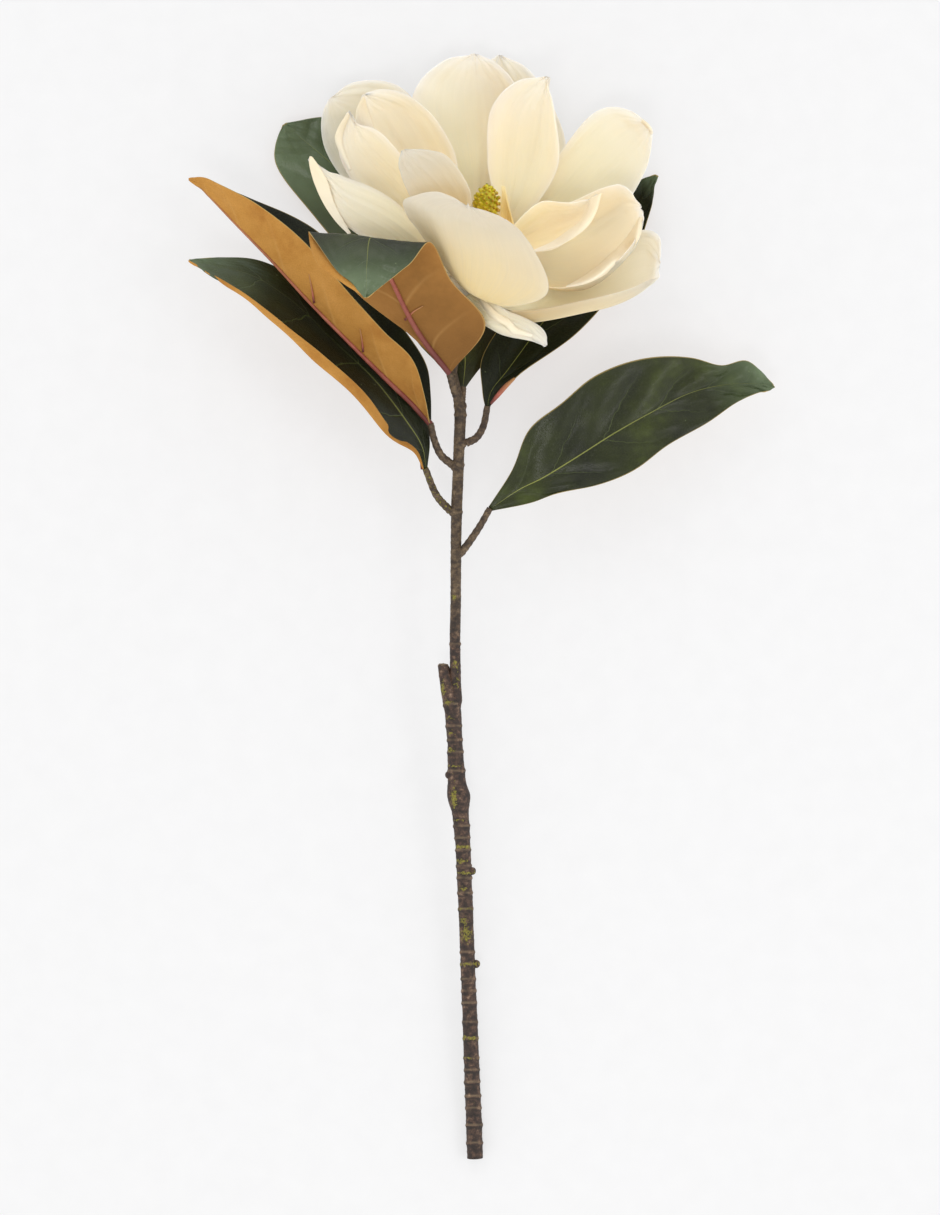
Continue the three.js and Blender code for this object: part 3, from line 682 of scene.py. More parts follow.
# %% Where the petals turn over: margin, crest and free edge, each spot with its lift in mm
PETAL_TURNS = {
    "petal_left_upper": [
        [(363, 96, 0), (357, 108, 0), (355, 122, 0)],
        [(364, 97, 0.7), (361, 110, 1.1), (362, 125, 0.9)],
        [(365, 98, 0.4), (369, 112, 0.5), (375, 130, 0.3)]],
    "petal_left": [
        [(348, 112, 0.3), (339, 126, 0.2), (335, 138, 0), (340, 153, 0), (349, 171, 0)],
        [(349, 114, 1), (342, 127, 1.2), (338, 139, 1), (343, 153, 0.9), (350, 170, 0.6)],
        [(350, 115, 0.6), (345, 128, 0.6), (342, 140, 0.5), (345, 153, 0.5), (351, 170, 0.4)]],
    "petal_right_inner": [
        [(601, 193, 0.3), (597, 210, 0), (589, 225, 0), (575, 237, 0), (556, 247, 0), (531, 253, 0)],
        [(599, 194, 1.4), (593, 212, 1.6), (584, 224, 1.9), (571, 234, 1.6), (554, 244, 1.1),
         (531, 252, 0.5)],
        [(590, 198, 0.6), (587, 210, 0.7), (579, 222, 1.1), (567, 231, 1), (553, 241, 0.6),
         (531, 251, 0.3)]],
    "petal_right": [
        [(642, 217, 0.6), (641, 234, 0.6), (632, 251, 0.6), (617, 265, 0.6), (601, 277, 0.6),
         (585, 284, 0.3), (566, 287, 0)],
        [(640, 217, 1.2), (636, 233, 2), (626, 249, 2.3), (611, 263, 2.2), (597, 274, 1.8),
         (582, 282, 1.3), (566, 286.5, 0.4)],
        [(639, 217, 0.6), (631, 231, 1), (619, 246, 1.2), (605, 259, 1.2), (592, 270, 0.9),
         (579, 279, 0.6), (566, 286, 0.2)]],
    "petal_left_front": [
        [(309.6, 157.4, 0.3), (309, 162, 0), (313, 180, 0), (323, 203, 0), (336, 222, 0), (349, 235, 0)],
        [(311, 156.2, 0.9), (313, 163, 1.1), (320, 181, 1.6), (328, 201, 1.6), (339, 219, 1.2),
         (350, 234, 0.6)],
        [(312.6, 157.8, 0.6), (318, 164.5, 0.6), (328, 182, 0.8), (333, 199, 0.8), (341, 216, 0.6),
         (351, 233, 0.3)]],
    "petal_right_upper": [
        [(642.5, 119, 0.1), (648, 123.6, 0.3), (651.6, 128.2, 0.3), (653, 133, 0.1)],
        [(641.8, 120.4, 0.5), (646.8, 125, 0.8), (650.4, 129.6, 0.8), (652.2, 134, 0.5)],
        [(641, 122, 0.2), (645.6, 126.6, 0.4), (649, 131, 0.4), (651.3, 135, 0.2)]],
    "petal_hanging": [
        [(480, 295, 0), (491, 306, 0), (501, 315, 0), (510, 320, 0), (516, 327, 0), (524, 331, 0),
         (533, 334, 0)],
        [(480, 298, 0.9), (489, 309, 1.6), (499, 318, 2), (508, 323, 2), (514, 330, 1.8),
         (523, 333, 1.3), (532, 336, 0.7)],
        [(479, 301, 0.4), (487, 312, 0.7), (497, 321, 0.9), (506, 326, 0.9), (512, 333, 0.8),
         (522, 335, 0.6), (531, 337, 0.4)],
        [(441, 270, 0), (444, 281, 0), (450, 291, 0), (458, 300, 0)],
        [(450, 269, 0), (453, 279, 0.4), (459, 288, 0.4), (465, 296, 0)],
        [(459, 268, 0), (463, 277, 0), (468, 286, 0), (472, 293, 0)]],
}


# %% [markdown]
# ## Petals
# Fifteen petals in five rings. The back ones show their hollow inner face, the front ones their bulging
# outer face. Each entry holds its ring, its angle and the stations of its three rails.

# %% Petal stations
PETALS = {
    "petal_back": dict(ring=2, angle=266, tip=(474, 54, 26), shoulders=[(444, 60, 28), (498, 64, 27)],
        left=[(448, 190, 50), (419, 140, 32), (413, 93, 28)],
        middle=[(478, 185, 38), (475, 135, 20), (472, 88, 18)],
        right=[(508, 188, 48), (528, 138, 32), (518, 88, 28)]),
    "petal_back_outer": dict(
        ring=0, angle=284, tip=(500, 55, 12), shoulders=[(486, 64, 8), (527, 68, 12)],
        left=[(480, 190, 34), (480, 140, 12), (480, 92, 8)],
        middle=[(515, 190, 30), (520, 140, 6), (512, 92, 5)],
        right=[(548, 195, 36), (566, 145, 14), (550, 98, 12)]),
    "petal_back_inner": dict(
        ring=3, angle=300, tip=(548, 77, 56), shoulders=[(517, 81, 54), (549, 88, 57)],
        left=[(492, 205, 66), (486, 160, 56), (491, 108, 52)],
        middle=[(512, 205, 60), (524, 150, 48), (532, 108, 48)],
        right=[(530, 212, 64), (559, 165, 56), (557, 115, 56)]),
    "petal_right_upper": dict(
        ring=1, angle=325, tip=(650, 124, 44), shoulders=[(632, 112, 40), (652, 142, 40)],
        left=[(522, 207, 53), (556, 155, 38), (600, 110, 36)],
        middle=[(540, 218, 40), (590, 165, 28), (630, 133, 32)],
        right=[(552, 240, 37), (618, 212, 31), (648, 170, 36)]),
    "petal_right_inner": dict(ring=3, angle=10, blunt=-0.15, tip=(598, 196, 94),
        left=[(515, 222, 82), (542, 200, 84), (572, 204, 88)],
        middle=[(522, 238, 74), (552, 222, 72), (580, 213, 80)],
        right=[(526, 252, 84), (558, 247, 88), (587, 224, 92)]),
    "petal_right": dict(ring=2, angle=355, belly=(0, 0.55), tip=(641, 208, 68),
        shoulders=[(628, 188, 65), (641, 222, 74)],
        left=[(530, 222, 64), (578, 197, 59), (612, 186, 62)],
        middle=[(540, 248, 58), (592, 236, 47), (625, 214, 50)],
        right=[(533, 283, 68), (582, 284, 78), (631, 245, 78)]),
    "petal_right_lower": dict(ring=0, angle=28, belly=(0, 0.75), tip=(660, 264, 50),
        shoulders=[(661, 240, 40), (657, 276, 57)],
        left=[(545, 250, 48), (600, 238, 34), (648, 229, 34)],
        middle=[(540, 285, 58), (602, 272, 40), (645, 255, 38)],
        right=[(500, 307, 69), (592, 298, 78), (643, 283, 64)]),
    "petal_front": dict(
        ring=1, angle=85, tip=(468, 206, 130), shoulders=[(433, 191, 120), (502, 218, 128)],
        left=[(446, 266, 84), (418, 230, 98), (401, 201, 108)],
        middle=[(470, 293, 100), (473, 254, 130), (467, 222, 136)],
        right=[(503, 306, 96), (548, 293, 110), (526, 240, 125)]),
    "petal_left_front": dict(
        ring=1, angle=158, tip=(309, 158, 78), shoulders=[(318, 184, 81), (324, 169, 82)],
        left=[(428, 278, 76), (382, 250, 84), (335, 215, 82)],
        middle=[(432, 255, 84), (388, 222, 92), (345, 198, 90)],
        right=[(430, 232, 84), (388, 195, 90), (346, 178, 86)]),
    "petal_left_inner": dict(ring=3, angle=150, tip=(403, 150, 96),
        left=[(446, 240, 84), (420, 212, 92), (402, 180, 94)],
        middle=[(458, 234, 86), (445, 200, 96), (422, 172, 98)],
        right=[(468, 226, 88), (471, 192, 100), (448, 157, 100)]),
    "petal_left": dict(
        ring=2, angle=202, tip=(349, 111, 68), shoulders=[(338, 130, 65), (354, 122, 68)],
        left=[(420, 240, 70), (378, 215, 66), (342, 162, 64)],
        middle=[(430, 222, 72), (390, 180, 64), (360, 148, 64)],
        right=[(436, 206, 78), (408, 165, 75), (378, 130, 71)]),
    "petal_left_upper": dict(
        ring=3, angle=240, tip=(364, 94, 52), shoulders=[(358, 112, 50), (386, 89, 47)],
        left=[(434, 212, 54), (396, 176, 47), (361, 130, 48)],
        middle=[(448, 205, 55), (420, 152, 43), (394, 112, 41)],
        right=[(462, 200, 64), (454, 150, 54), (424, 105, 48)]),
    "petal_left_outer": dict(
        ring=0, angle=222, tip=(330, 98, 26), shoulders=[(322, 116, 26), (354, 82, 24)],
        left=[(400, 225, 44), (352, 190, 28), (325, 148, 26)],
        middle=[(425, 205, 40), (386, 150, 18), (356, 108, 20)],
        right=[(450, 195, 42), (434, 135, 24), (400, 86, 24)]),
    "petal_small": dict(ring=4, angle=55, blunt=0, tip=(503, 187, 104),
        left=[(493, 251, 79.5), (499, 225, 94), (501, 206, 100)],
        middle=[(496.5, 250, 78), (505, 226, 92), (506, 208, 99)],
        right=[(499.5, 248, 76.5), (513, 227, 92), (511, 210, 100)]),
    "petal_hanging": dict(
        ring=0, angle=90, tip=(546, 346, 72), shoulders=[(532, 338, 77), (544, 331, 76)],
        left=[(446, 290, 67), (474, 321, 74), (510, 337, 79)],
        middle=[(464, 288, 76), (488, 314, 85), (520, 329, 84)],
        right=[(479, 289, 77), (500, 308, 84), (531, 319, 80)]),
}


# %% Make the petals
PETAL_THICK = 1.1
PETAL_RIM = 0.4
PETAL_GRID = (44, 28)
PETAL_END = 1.2
BLUNT_PETAL = 0.22
INWARD = 70
PETAL_TOUCHES = {
    "petal_back": {"dent": (2.2, 0.3, 0.7), "crumple": 2.4},
    "petal_back_inner": {"crumple": 2.2, "curl": -1.5},
    "petal_front": {"dent": (4.5, 0.09, 0.72), "crumple": 2.0},
    "petal_left": {"curl": 2.0},
    "petal_left_upper": {"curl": 1.0, "crumple": 1.8},
    "petal_right_upper": {"curl": 2.0, "crumple": 2.0},
    "petal_small": {"curl": 2.0, "crumple": 0.6},
    "petal_right_lower": {"wave": 2.2, "beats": 3.0},
    "petal_hanging": {"crumple": 1.6},
}


def make_petal(name, shape, seed):
    height, angle = WHORLS[shape["ring"]], shape["angle"]
    foot = on_axis(height, CLAW_RING, angle)
    half = (on_axis(height, CLAW_RING, angle + 90) - on_axis(height, 0, 0)).normalized() * CLAW_HALF
    rails = rails_of(shape)
    feet = [foot - half, foot, foot + half]
    if (feet[0] - rails[0][0]).length > (feet[2] - rails[0][0]).length:
        feet.reverse()
    close_blade(rails, feet, shape, PETAL_END, BLUNT_PETAL)
    look = {**PLAIN, "wave": 1.2, "beats": 1.5, "crumple": 1.4, "pleat": 0.9, **shape,
            **PETAL_TOUCHES.get(name, {})}
    grid = blade_grid(rails, look, *PETAL_GRID)
    inward = (HEART + AXIS * INWARD - rails[1][2]).normalized()
    wave_grid(grid, look, seed, inward)
    faces = (petal_sliver, petal_sliver) if name == "petal_small" else (petal_inner, petal_outer_shaded)
    piece = blade_piece(name, grid, PETAL_THICK, PETAL_RIM, *faces, inward)
    edges = PETAL_TURNS.get(name, [])
    strips = [turned_margin("%s_turn_%d" % (name, n), grid, edges[n:n + 3], petal_turned_lit)
              for n in range(0, len(edges), 3)]
    if strips:
        piece = joined([piece] + strips, name)
    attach(piece, "root")
    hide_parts(name)


for number, (name, shape) in enumerate(PETALS.items()):
    make_petal(name, shape, 3.7 * number)
print("petals:", len(PETALS))

# %% [markdown]
# ## Leaves
# Six leaves. A stalk carries each one; it is part of the twig below. On the underside the midrib is a
# thick round rib that thins towards the tip, so it is a tube of its own, joined to the leaf.

# %% Leaf stations
LEAVES = {
    "leaf_back_left": dict(tip=(284, 124, 14),
        stalk=[(461, 408, 48), (463, 389, 46.5)],
        left=[(440, 350, 36), (380, 290, 16), (318, 222, 6), (276, 165, 8)],
        middle=[(464, 350, 37), (430, 270, 12), (372, 200, 1.6), (318, 152, 6)],
        right=[(500, 332, 26), (484, 245, 8), (424, 168, 4), (352, 118, 8)]),
    "leaf_left_upper": dict(
        fold=0.9, wave=0.8, tip=(189, 179, 50), shoulders=[(201, 177, 54), (198, 185, 49)],
        stalk=[(452.6, 465, 44), (441, 455, 46), (434, 439, 48), (431, 425, 50)],
        left=[(425, 398, 58), (413, 360, 66), (385, 331, 73), (346, 289, 77), (304, 243, 77),
              (256, 204, 71), (217, 183, 60)],
        middle=[(419, 408, 50), (390, 380, 54), (352, 343, 58), (312, 303, 60), (272, 260, 60),
                (234, 222, 56), (206, 194, 52)],
        right=[(431, 396, 44), (427, 366, 42), (403, 328, 42), (360, 273, 43), (316, 229, 44),
               (262, 203, 46), (224, 188, 48)]),
    "leaf_left_lower": dict(belly=(0.7, 0), fold=0.4, wave=0.8, tip=(189, 260, 50),
        shoulders=[(200, 266, 55), (206, 258, 50)],
        stalk=[(450.5, 511, 41), (437, 496, 45), (426, 470, 50)],
        left=[(417, 450, 55), (395, 433, 59), (366, 395, 67), (326, 358, 74), (286, 325, 76),
              (247, 295, 72), (214, 275, 60)],
        middle=[(422, 447, 49.5), (405, 419, 52), (373, 378, 54), (335, 342, 55), (296, 303, 55),
                (255, 276, 54), (218, 266, 52)],
        right=[(430, 441, 45), (424, 405, 40), (396, 366, 41), (354, 322, 44), (306, 283, 46),
               (258, 260, 47), (222, 257, 48)]),
    "leaf_front": dict(blunt=0, tip=(366, 298, 124),
        stalk=[(460, 404, 49), (455, 393, 55), (449.5, 374, 62)],
        left=[(415, 338, 80), (352, 290, 96), (308, 231, 110), (332, 264, 120)],
        middle=[(415, 326, 86), (388, 272, 108), (371, 238, 120), (367, 264, 128)],
        right=[(486, 325, 88), (451, 279, 110), (430, 244, 124), (409, 265, 129)]),
    "leaf_right_back": dict(tip=(657, 175, 12), shoulders=[(640, 180, 8), (653, 190, 10)],
        stalk=[(466, 443, 46), (476, 438, 46), (483, 427, 46), (487, 408, 46)],
        left=[(482, 390, 46), (481, 362, 44), (503, 322, 36), (547, 262, 14), (615, 199, 6)],
        middle=[(491, 392, 44), (508, 370, 40), (545, 320, 26), (596, 258, 2.8), (638, 206, 4)],
        right=[(500, 393, 46), (520, 375, 44), (576, 333, 32), (633, 262, 10), (650, 216, 8)]),
    "leaf_right": dict(wave=0.6, tip=(774, 386, 26), shoulders=[(759, 369, 31), (769, 390, 28)],
        stalk=[(461, 553, 38), (470, 541, 41), (480, 526, 43.5), (489, 510, 45)],
        left=[(512, 470, 52), (529, 429, 57), (562, 403, 60), (597, 375, 60), (645, 358, 54),
              (690, 357, 46), (722, 365.5, 38), (745, 360, 35)],
        middle=[(520, 489, 48), (541, 479, 51), (577, 457, 53), (613, 434, 52), (650, 413, 47.5),
                (690, 393, 40), (725, 385, 34), (752, 384, 30)],
        right=[(531, 503, 50), (556, 494, 54), (597, 486, 55.5), (634, 471, 54), (668, 445, 48),
               (709, 422, 41), (738, 402, 35), (760, 391.5, 31)]),
}


# %% A tube round a line of stations
def tube_piece(name, centres, radii, sides, ups=None):
    """A grid rolled round a line; the two sides where it closes are merged and the ends are filled."""
    last = len(centres) - 1
    piece, places = grid_piece(name, last, sides)
    frames = []
    for i, centre in enumerate(centres):
        tangent = (centres[min(i + 1, last)] - centres[max(i - 1, 0)]).normalized()
        up = ups[i] if ups else Vector((0, 0, 1))
        side = up.cross(tangent).normalized()
        frames.append((side, tangent.cross(side).normalized()))
    for vertex, (i, k) in zip(piece.data.vertices, places):
        turn = 2 * math.pi * (k % sides) / sides
        side, lift = frames[i]
        radius = radii(i, turn) if callable(radii) else radii[i]
        out = side * (radius * math.cos(turn))
        vertex.co = settled(centres[i] + out + lift * (radius * math.sin(turn)))
    only(piece)
    bpy.ops.object.mode_set(mode="EDIT")
    bpy.ops.mesh.select_all(action="SELECT")
    bpy.ops.mesh.remove_doubles(threshold=0.0000005)
    bpy.ops.mesh.fill_holes(sides=0)
    bpy.ops.mesh.normals_make_consistent(inside=False)
    bpy.ops.object.mode_set(mode="OBJECT")
    return piece


# %% Where the leaves turn over, and the short side veins that stand out beside a midrib
LEAF_TURNS = {
    "leaf_right_back": (midrib_pink, [
        [(491, 405, 0), (499, 397, 0), (507, 388, 0), (515, 379, 0)],
        [(490.5, 404, 0.9), (498, 395, 1.2), (506, 386, 1.2), (515, 378, 0.8)],
        [(490, 403, 0.6), (497, 393, 0.8), (505, 384, 0.8), (514, 377.5, 0.5)]]),
    "leaf_front": (leaf_under, [
        [(308.5, 231, 109.5), (310, 245, 111.5), (314, 258, 114), (320, 267, 116.5), (328, 273, 118.3),
         (337, 279, 119.8), (347, 286, 121), (357, 292, 122), (366, 297.5, 122.8)],
        [(310.5, 232.5, 110), (314.5, 246, 113), (321, 257, 116), (327, 265, 118.5), (334, 271, 120),
         (341.5, 278, 121.3), (349.5, 284.5, 122.3), (358.5, 291, 123), (366.5, 297, 123.2)],
        [(313, 234, 108.7), (320, 247, 112), (329, 256, 115.5), (335, 262, 117.5), (341, 269, 118.8),
         (347, 276, 120), (353, 283, 120.8), (361, 290, 121.5), (367.5, 296.5, 122.2)]]),
}

SIDE_VEINS = {
    "leaf_left_upper": [[(314, 303), (312, 290), (309, 274)], [(363, 352), (362, 341), (360, 329)]],
    "leaf_front": [[(405, 320), (413, 312), (423, 306)]],
}

# %% Make the leaves
LEAF_THICK = 1.0
LEAF_RIM = 0.6
LEAF_GRID = (64, 32)
LEAF_END = 1.0
LEAF_FOOT = 1.6
BLUNT_LEAF = 0.12
STALK_GAP = 0.9
RIB_ROWS = 62
RIB_SIDES = 10
RIB_RADIUS, RIB_LEAST, RIB_SUNK = 1.75, 0.2, 0.25
RIB_LEAD, RIB_START = 1.2, 1.3
VEIN_RADII = [0.75 - 0.045 * n for n in range(11)]
VEIN_LIFT = 0.7
OFF_GROUND = 0.0002
UPPER_SIDES = {"leaf_left_upper": (0.2, 0.5, -0.3), "leaf_left_lower": (0, 0.2, 1),
               "leaf_front": (0.1, -0.6, 0.8)}
UNDER_SEEN = ("leaf_left_upper", "leaf_front")
LEAF_TOPS = {"leaf_left_lower": "leaf_upper_low", "leaf_right_back": "leaf_upper_shaded",
             "leaf_left_upper": "leaf_upper_shaded", "leaf_back_left": "leaf_upper_wide_sheen",
             "leaf_front": "leaf_upper_folded"}
CUSHIONS = {"leaf_right": 3.4, "leaf_left_lower": 0.7}


def pink(piece):
    piece.data.materials.append(midrib_pink)
    piece.data.shade_smooth()
    return piece


def rib_piece(name, grid, way, seen):
    """The midrib stands out of the underside. Where the underside is seen it rises out of the stalk."""
    normals = grid_normals(grid)
    half = len(grid[0]) // 2
    centres, widths, ups = [], [], []
    for i in range(RIB_ROWS):
        width = RIB_RADIUS * (1 - i / (RIB_ROWS + 4)) ** 1.6 + RIB_LEAST
        proud = way * (width - RIB_SUNK) * (min(1.0, i / 5) if seen else 1.0)
        centres.append(grid[i][half] - normals[i][half] * proud)
        widths.append(width)
        ups.append(normals[i][half] * way)
    if seen:
        centres.insert(0, centres[0] - (centres[1] - centres[0]).normalized() * RIB_LEAD)
        widths.insert(0, RIB_START)
        ups.insert(0, ups[0])
    rib = tube_piece(name, centres, widths, RIB_SIDES, ups)
    for vertex in rib.data.vertices:
        vertex.co.z = max(vertex.co.z, OFF_GROUND)
    return pink(rib)


def side_vein(name, grid, line):
    centres = [on_blade(grid, across, down, VEIN_LIFT) for across, down in line]
    path = [rail_point(centres, n / 10) for n in range(len(VEIN_RADII))]
    return pink(tube_piece(name, path, VEIN_RADII, 8))


def make_leaf(name, shape, seed):
    rails = rails_of(shape)
    away = (rails[1][0] - spot(shape["stalk"][-2])).normalized()
    foot = spot(shape["stalk"][-1]) + away * STALK_GAP
    aside = rails[2][0] - rails[0][0]
    aside = (aside - away * aside.dot(away)).normalized() * LEAF_FOOT
    close_blade(rails, (foot - aside, foot, foot + aside), shape, LEAF_END, BLUNT_LEAF)
    look = {**PLAIN, "wave": 1.5, "beats": 3.0, "fold": 0.3, "crumple": 1.2, "pleat": 0.5, **shape,
            "cushion": CUSHIONS.get(name, 1.6)}
    grid = blade_grid(rails, look, *LEAF_GRID)
    upper = Vector(UPPER_SIDES.get(name, (0, 0, 1))).normalized()
    wave_grid(grid, look, seed, upper)
    top = leaf_uppers[LEAF_TOPS.get(name, "leaf_upper")]
    felt = leaf_under_shaded if name == "leaf_front" else leaf_under
    pieces = [blade_piece(name, grid, LEAF_THICK, LEAF_RIM, top, felt, upper)]
    pieces.append(rib_piece(name + "_rib", grid, facing(grid_normals(grid), upper), name in UNDER_SEEN))
    for number, line in enumerate(SIDE_VEINS.get(name, [])):
        pieces.append(side_vein("%s_vein_%d" % (name, number), grid, line))
    if name in LEAF_TURNS:
        finish, edges = LEAF_TURNS[name]
        pieces.append(turned_margin(name + "_turn", grid, edges, finish))
    leaf = joined(pieces, name)
    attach(leaf, "root")
    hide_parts(name)


for number, (name, shape) in enumerate(LEAVES.items()):
    make_leaf(name, shape, 40 + 5.3 * number)
print("leaves:", len(LEAVES))

# %% [markdown]
# ## The twig
# The old wood is a tube with raised leaf scars, a swelling and a sawn-off stub. A younger shoot leaves
# it beside the stub and carries the leaf stalks and the bloom. Each is a rolled grid with many rings,
# so that the scars are real rings and not only paint.

# %% Twig stations
TRUNK = [(475, 1158, 5.9, 16.5), (474, 1122, 6.6, 16.5), (472.5, 1088, 8, 16), (470, 1019, 11.5, 15.5),
         (468.5, 984, 13.5, 15), (466, 915, 17, 15), (463, 847, 21, 15.5), (460.5, 812, 23, 17),
         (458.5, 795, 24, 19.5), (456.5, 778, 25, 18), (455, 743, 27, 15.5), (453, 712, 29, 17),
         (448, 690, 30, 15), (443, 664, 31, 11)]
SHOOT = [(455, 712, 29, 10), (456.5, 700, 29.5, 12), (455.5, 684, 30.5, 11.5), (455, 638, 33, 11),
         (455.7, 604, 35, 11), (456, 547, 38, 11), (456.5, 512, 40.5, 11.5), (458.8, 455, 45, 11.5),
         (460.5, 412, 49, 12), (457, 392, 50, 9.5), (453, 373, 49.5, 8.5), (457, 345, 47.5, 8.5),
         (469, 308, 47, 9), (479, 282, 52.8, 12), (479.7, 274.6, 55.8, 15)]
TRUNK_SCARS = [1143, 1125, 1108, 1096, 1082, 1070, 1058, 1038, 1022, 1003, 991, 979, 964, 952, 909,
               893, 878, 866, 850, 838, 826, 771, 752, 740, 726, 704]
SHOOT_SCARS = [644, 512, 465, 415]
SCAR = 0.55
KNOBS = [(449, 775, 26, 4.2), (472, 871, 19, 4.2), (476, 964, 14, 4.4), (458.5, 552, 38, 6.4),
         (454.5, 511, 40.5, 6.4), (456.5, 466, 44, 6.4), (461, 443, 46, 6.4), (460, 406, 49, 6.8)]
MOSS = [(461, 1058, 30, 2, 0.5), (463, 1038, 30, 3, 0.7), (470, 964, 30, 3, 0.7),
        (466, 934, 7, 10, 0.8), (464, 921, 6, 5, 0.7), (467, 909, 30, 2, 0.6), (464, 889, 5, 3, 0.8),
        (461, 873, 30, 2, 0.8), (461, 861, 7, 3, 0.9), (460, 847, 30, 2, 0.9), (459, 820, 30, 1.5, 0.5),
        (454, 797, 3.5, 13, 1), (455, 766, 30, 1.5, 0.6), (451, 750, 5, 3, 0.8), (451, 733, 6, 5, 0.55),
        (450, 718, 5, 3, 0.7), (447, 703, 6, 3, 0.7), (443, 688, 4, 8, 0.8), (455, 664, 4, 6, 0.75),
        (457, 682, 3, 9, 0.6), (454, 597, 3, 4, 0.75)]
NODES = [(411, 5), (433, 3), (510, 2), (561, 3), (630, 3)]
SWELLING = (797, 11, 1.3)
print("old wood:", len(TRUNK), "stations, young shoot:", len(SHOOT))


# %% Rings along a limb
RING_STEP = 1.3
LIMB_SIDES = 24
SCAR_WIDTH = 1.5
BARK_ALLOWANCE = 0.12
STUB_SLANT = 0.35
STUB_EDGE = 0.0004
STUB_FACE = 0.0042


def bell(away, width):
    """1 in the middle of a mark, and down to nothing beside it."""
    return math.exp(-(away / width) ** 2)


def limb_piece(name, stations, scars, seed, young):
    """A tube with a ring at every scar. The old wood swells once and ends in a slanting sawn face."""
    low, high, last = stations[0][1], stations[-1][1], len(stations) - 1
    middle, spread, most = SWELLING
    count = int(abs(low - high) / RING_STEP)
    centres, widths = [], []
    for n in range(count + 1):
        down = low + (high - low) * n / count
        k = next((m for m in range(1, last) if stations[m][1] <= down + 1e-6), last)
        first, second = stations[k - 1], stations[k]
        share = (first[1] - down) / (first[1] - second[1])
        station = [a + share * (b - a) for a, b in zip(first, second)]
        ring = sum(bell(down - scar, SCAR_WIDTH) for scar in scars)
        centres.append(spot(station))
        swell = most * bell(down - middle, spread) if name == "trunk" else 0.0
        widths.append(station[3] * STEP / 2 + SCAR * min(ring, 1.0) - BARK_ALLOWANCE + swell)

    def radius(i, turn):
        at = centres[i]
        around = Vector((math.cos(turn), at.y * 0.11, math.sin(turn)))
        fine = Vector((math.cos(turn) * 3, at.y * 0.5, math.sin(turn) * 3 + seed))
        return widths[i] * (1 + 0.05 * noise.noise(around)) + 0.22 * noise.noise(fine)

    piece = tube_piece(name, centres, radius, LIMB_SIDES)
    stub = settled(centres[-1])
    for vertex in piece.data.vertices:
        if name == "trunk" and vertex.co.y > stub.y - STUB_EDGE:
            vertex.co.y += (stub.x - vertex.co.x) * STUB_SLANT + 0.0009 * noise.noise(vertex.co * 500)
    paint_wood(piece, young, scars)
    if name == "trunk":
        for vertex in piece.data.vertices:
            if (vertex.co - stub).length < STUB_FACE and vertex.normal.y > 0.6:
                piece.data.attributes["scar"].data[vertex.index].value = 1.6
    return piece


def paint_wood(piece, young, scars=()):
    """Lays the young, moss and scar attributes on the points. Scar is over a half on the raised rings
    and under it in a band of painted shade just below each ring and at the dark nodes."""
    mesh = piece.data
    for mark in ("young", "moss", "scar"):
        mesh.attributes.new(mark, "FLOAT", "POINT")
    green, moss, ring = [mesh.attributes[mark].data for mark in ("young", "moss", "scar")]
    for n, vertex in enumerate(mesh.vertices):
        across, down = view_of(vertex.co * 1000 - SHIFT)
        moss[n].value = max(weight * math.exp(-((down - y) / tall) ** 2 - ((across - x) / wide) ** 2)
                            for x, y, wide, tall, weight in MOSS)
        green[n].value = young(down)
        crest = sum(bell(down - scar, 1.4) for scar in scars)
        # Painted shade: a dark band just below each raised ring.
        shade_under_rings = sum(bell(down - scar - 2.6, SCAR_WIDTH) for scar in scars)
        node = max(bell(down - middle, spread) for middle, spread in NODES) if scars else 0.0
        patchy = 0.75 + 0.9 * noise.noise(vertex.co * 260)
        ring[n].value = 0.5 + (0.5 * min(crest, 1.0) - 0.5 * min(shade_under_rings + 0.8 * node, 1.0)) * patchy
    mesh.materials.append(bark)
    mesh.shade_smooth()


def old_wood(down):
    return 0.0


def young_wood(down):
    """From no green at all on the oldest wood of the shoot to full green on the newest."""
    return max(0.0, min(1.0, (650 - down) / 60))


# %% Stalks and knobs
STALK_RADIUS = 2.3
STALK_RINGS = 26


def stalk_piece(name, points):
    rail = [spot(point) for point in points]
    rail[-1] = rail[-1] + (rail[-1] - rail[-2]).normalized() * 1.2
    centres = [rail_point(rail, n / STALK_RINGS) for n in range(STALK_RINGS + 1)]
    rings = [STALK_RADIUS * (1.12 - 0.24 * n / STALK_RINGS) * (1 + 0.06 * math.sin(n * 1.9))
             for n in range(STALK_RINGS + 1)]
    piece = tube_piece(name, centres, rings, 14)
    paint_wood(piece, lambda down: 0.9)
    if name == "stalk_leaf_left_lower":
        for value in piece.data.attributes["moss"].data:
            value.value = 0.42
    return piece


def knob_piece(number, knob):
    """A ball pushed in and out a little all round."""
    middle = settled(spot(knob))
    bpy.ops.mesh.primitive_ico_sphere_add(subdivisions=3, radius=knob[3] * STEP / 1000, location=middle,
                                          calc_uvs=True)
    piece = bpy.context.object
    piece.name = "knob_%d" % number
    bpy.ops.object.transform_apply(location=True, rotation=True, scale=True)
    for vertex in piece.data.vertices:
        out = vertex.co - middle
        vertex.co = middle + out * (0.97 + 0.09 * noise.noise(vertex.co * 420 + Vector((number, 0, 0))))
    paint_wood(piece, young_wood)
    return piece


# %% Make the twig
def make_twig():
    pieces = [limb_piece("trunk", TRUNK, TRUNK_SCARS, 0.0, old_wood),
              limb_piece("shoot", SHOOT, SHOOT_SCARS, 5.0, young_wood)]
    pieces += [stalk_piece("stalk_" + name, shape["stalk"]) for name, shape in LEAVES.items()]
    pieces += [knob_piece(number, knob) for number, knob in enumerate(KNOBS)]
    twig = joined(pieces, "branch")
    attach(twig, "root")
    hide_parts("branch")
    print("twig faces:", len(twig.data.polygons))


make_twig()

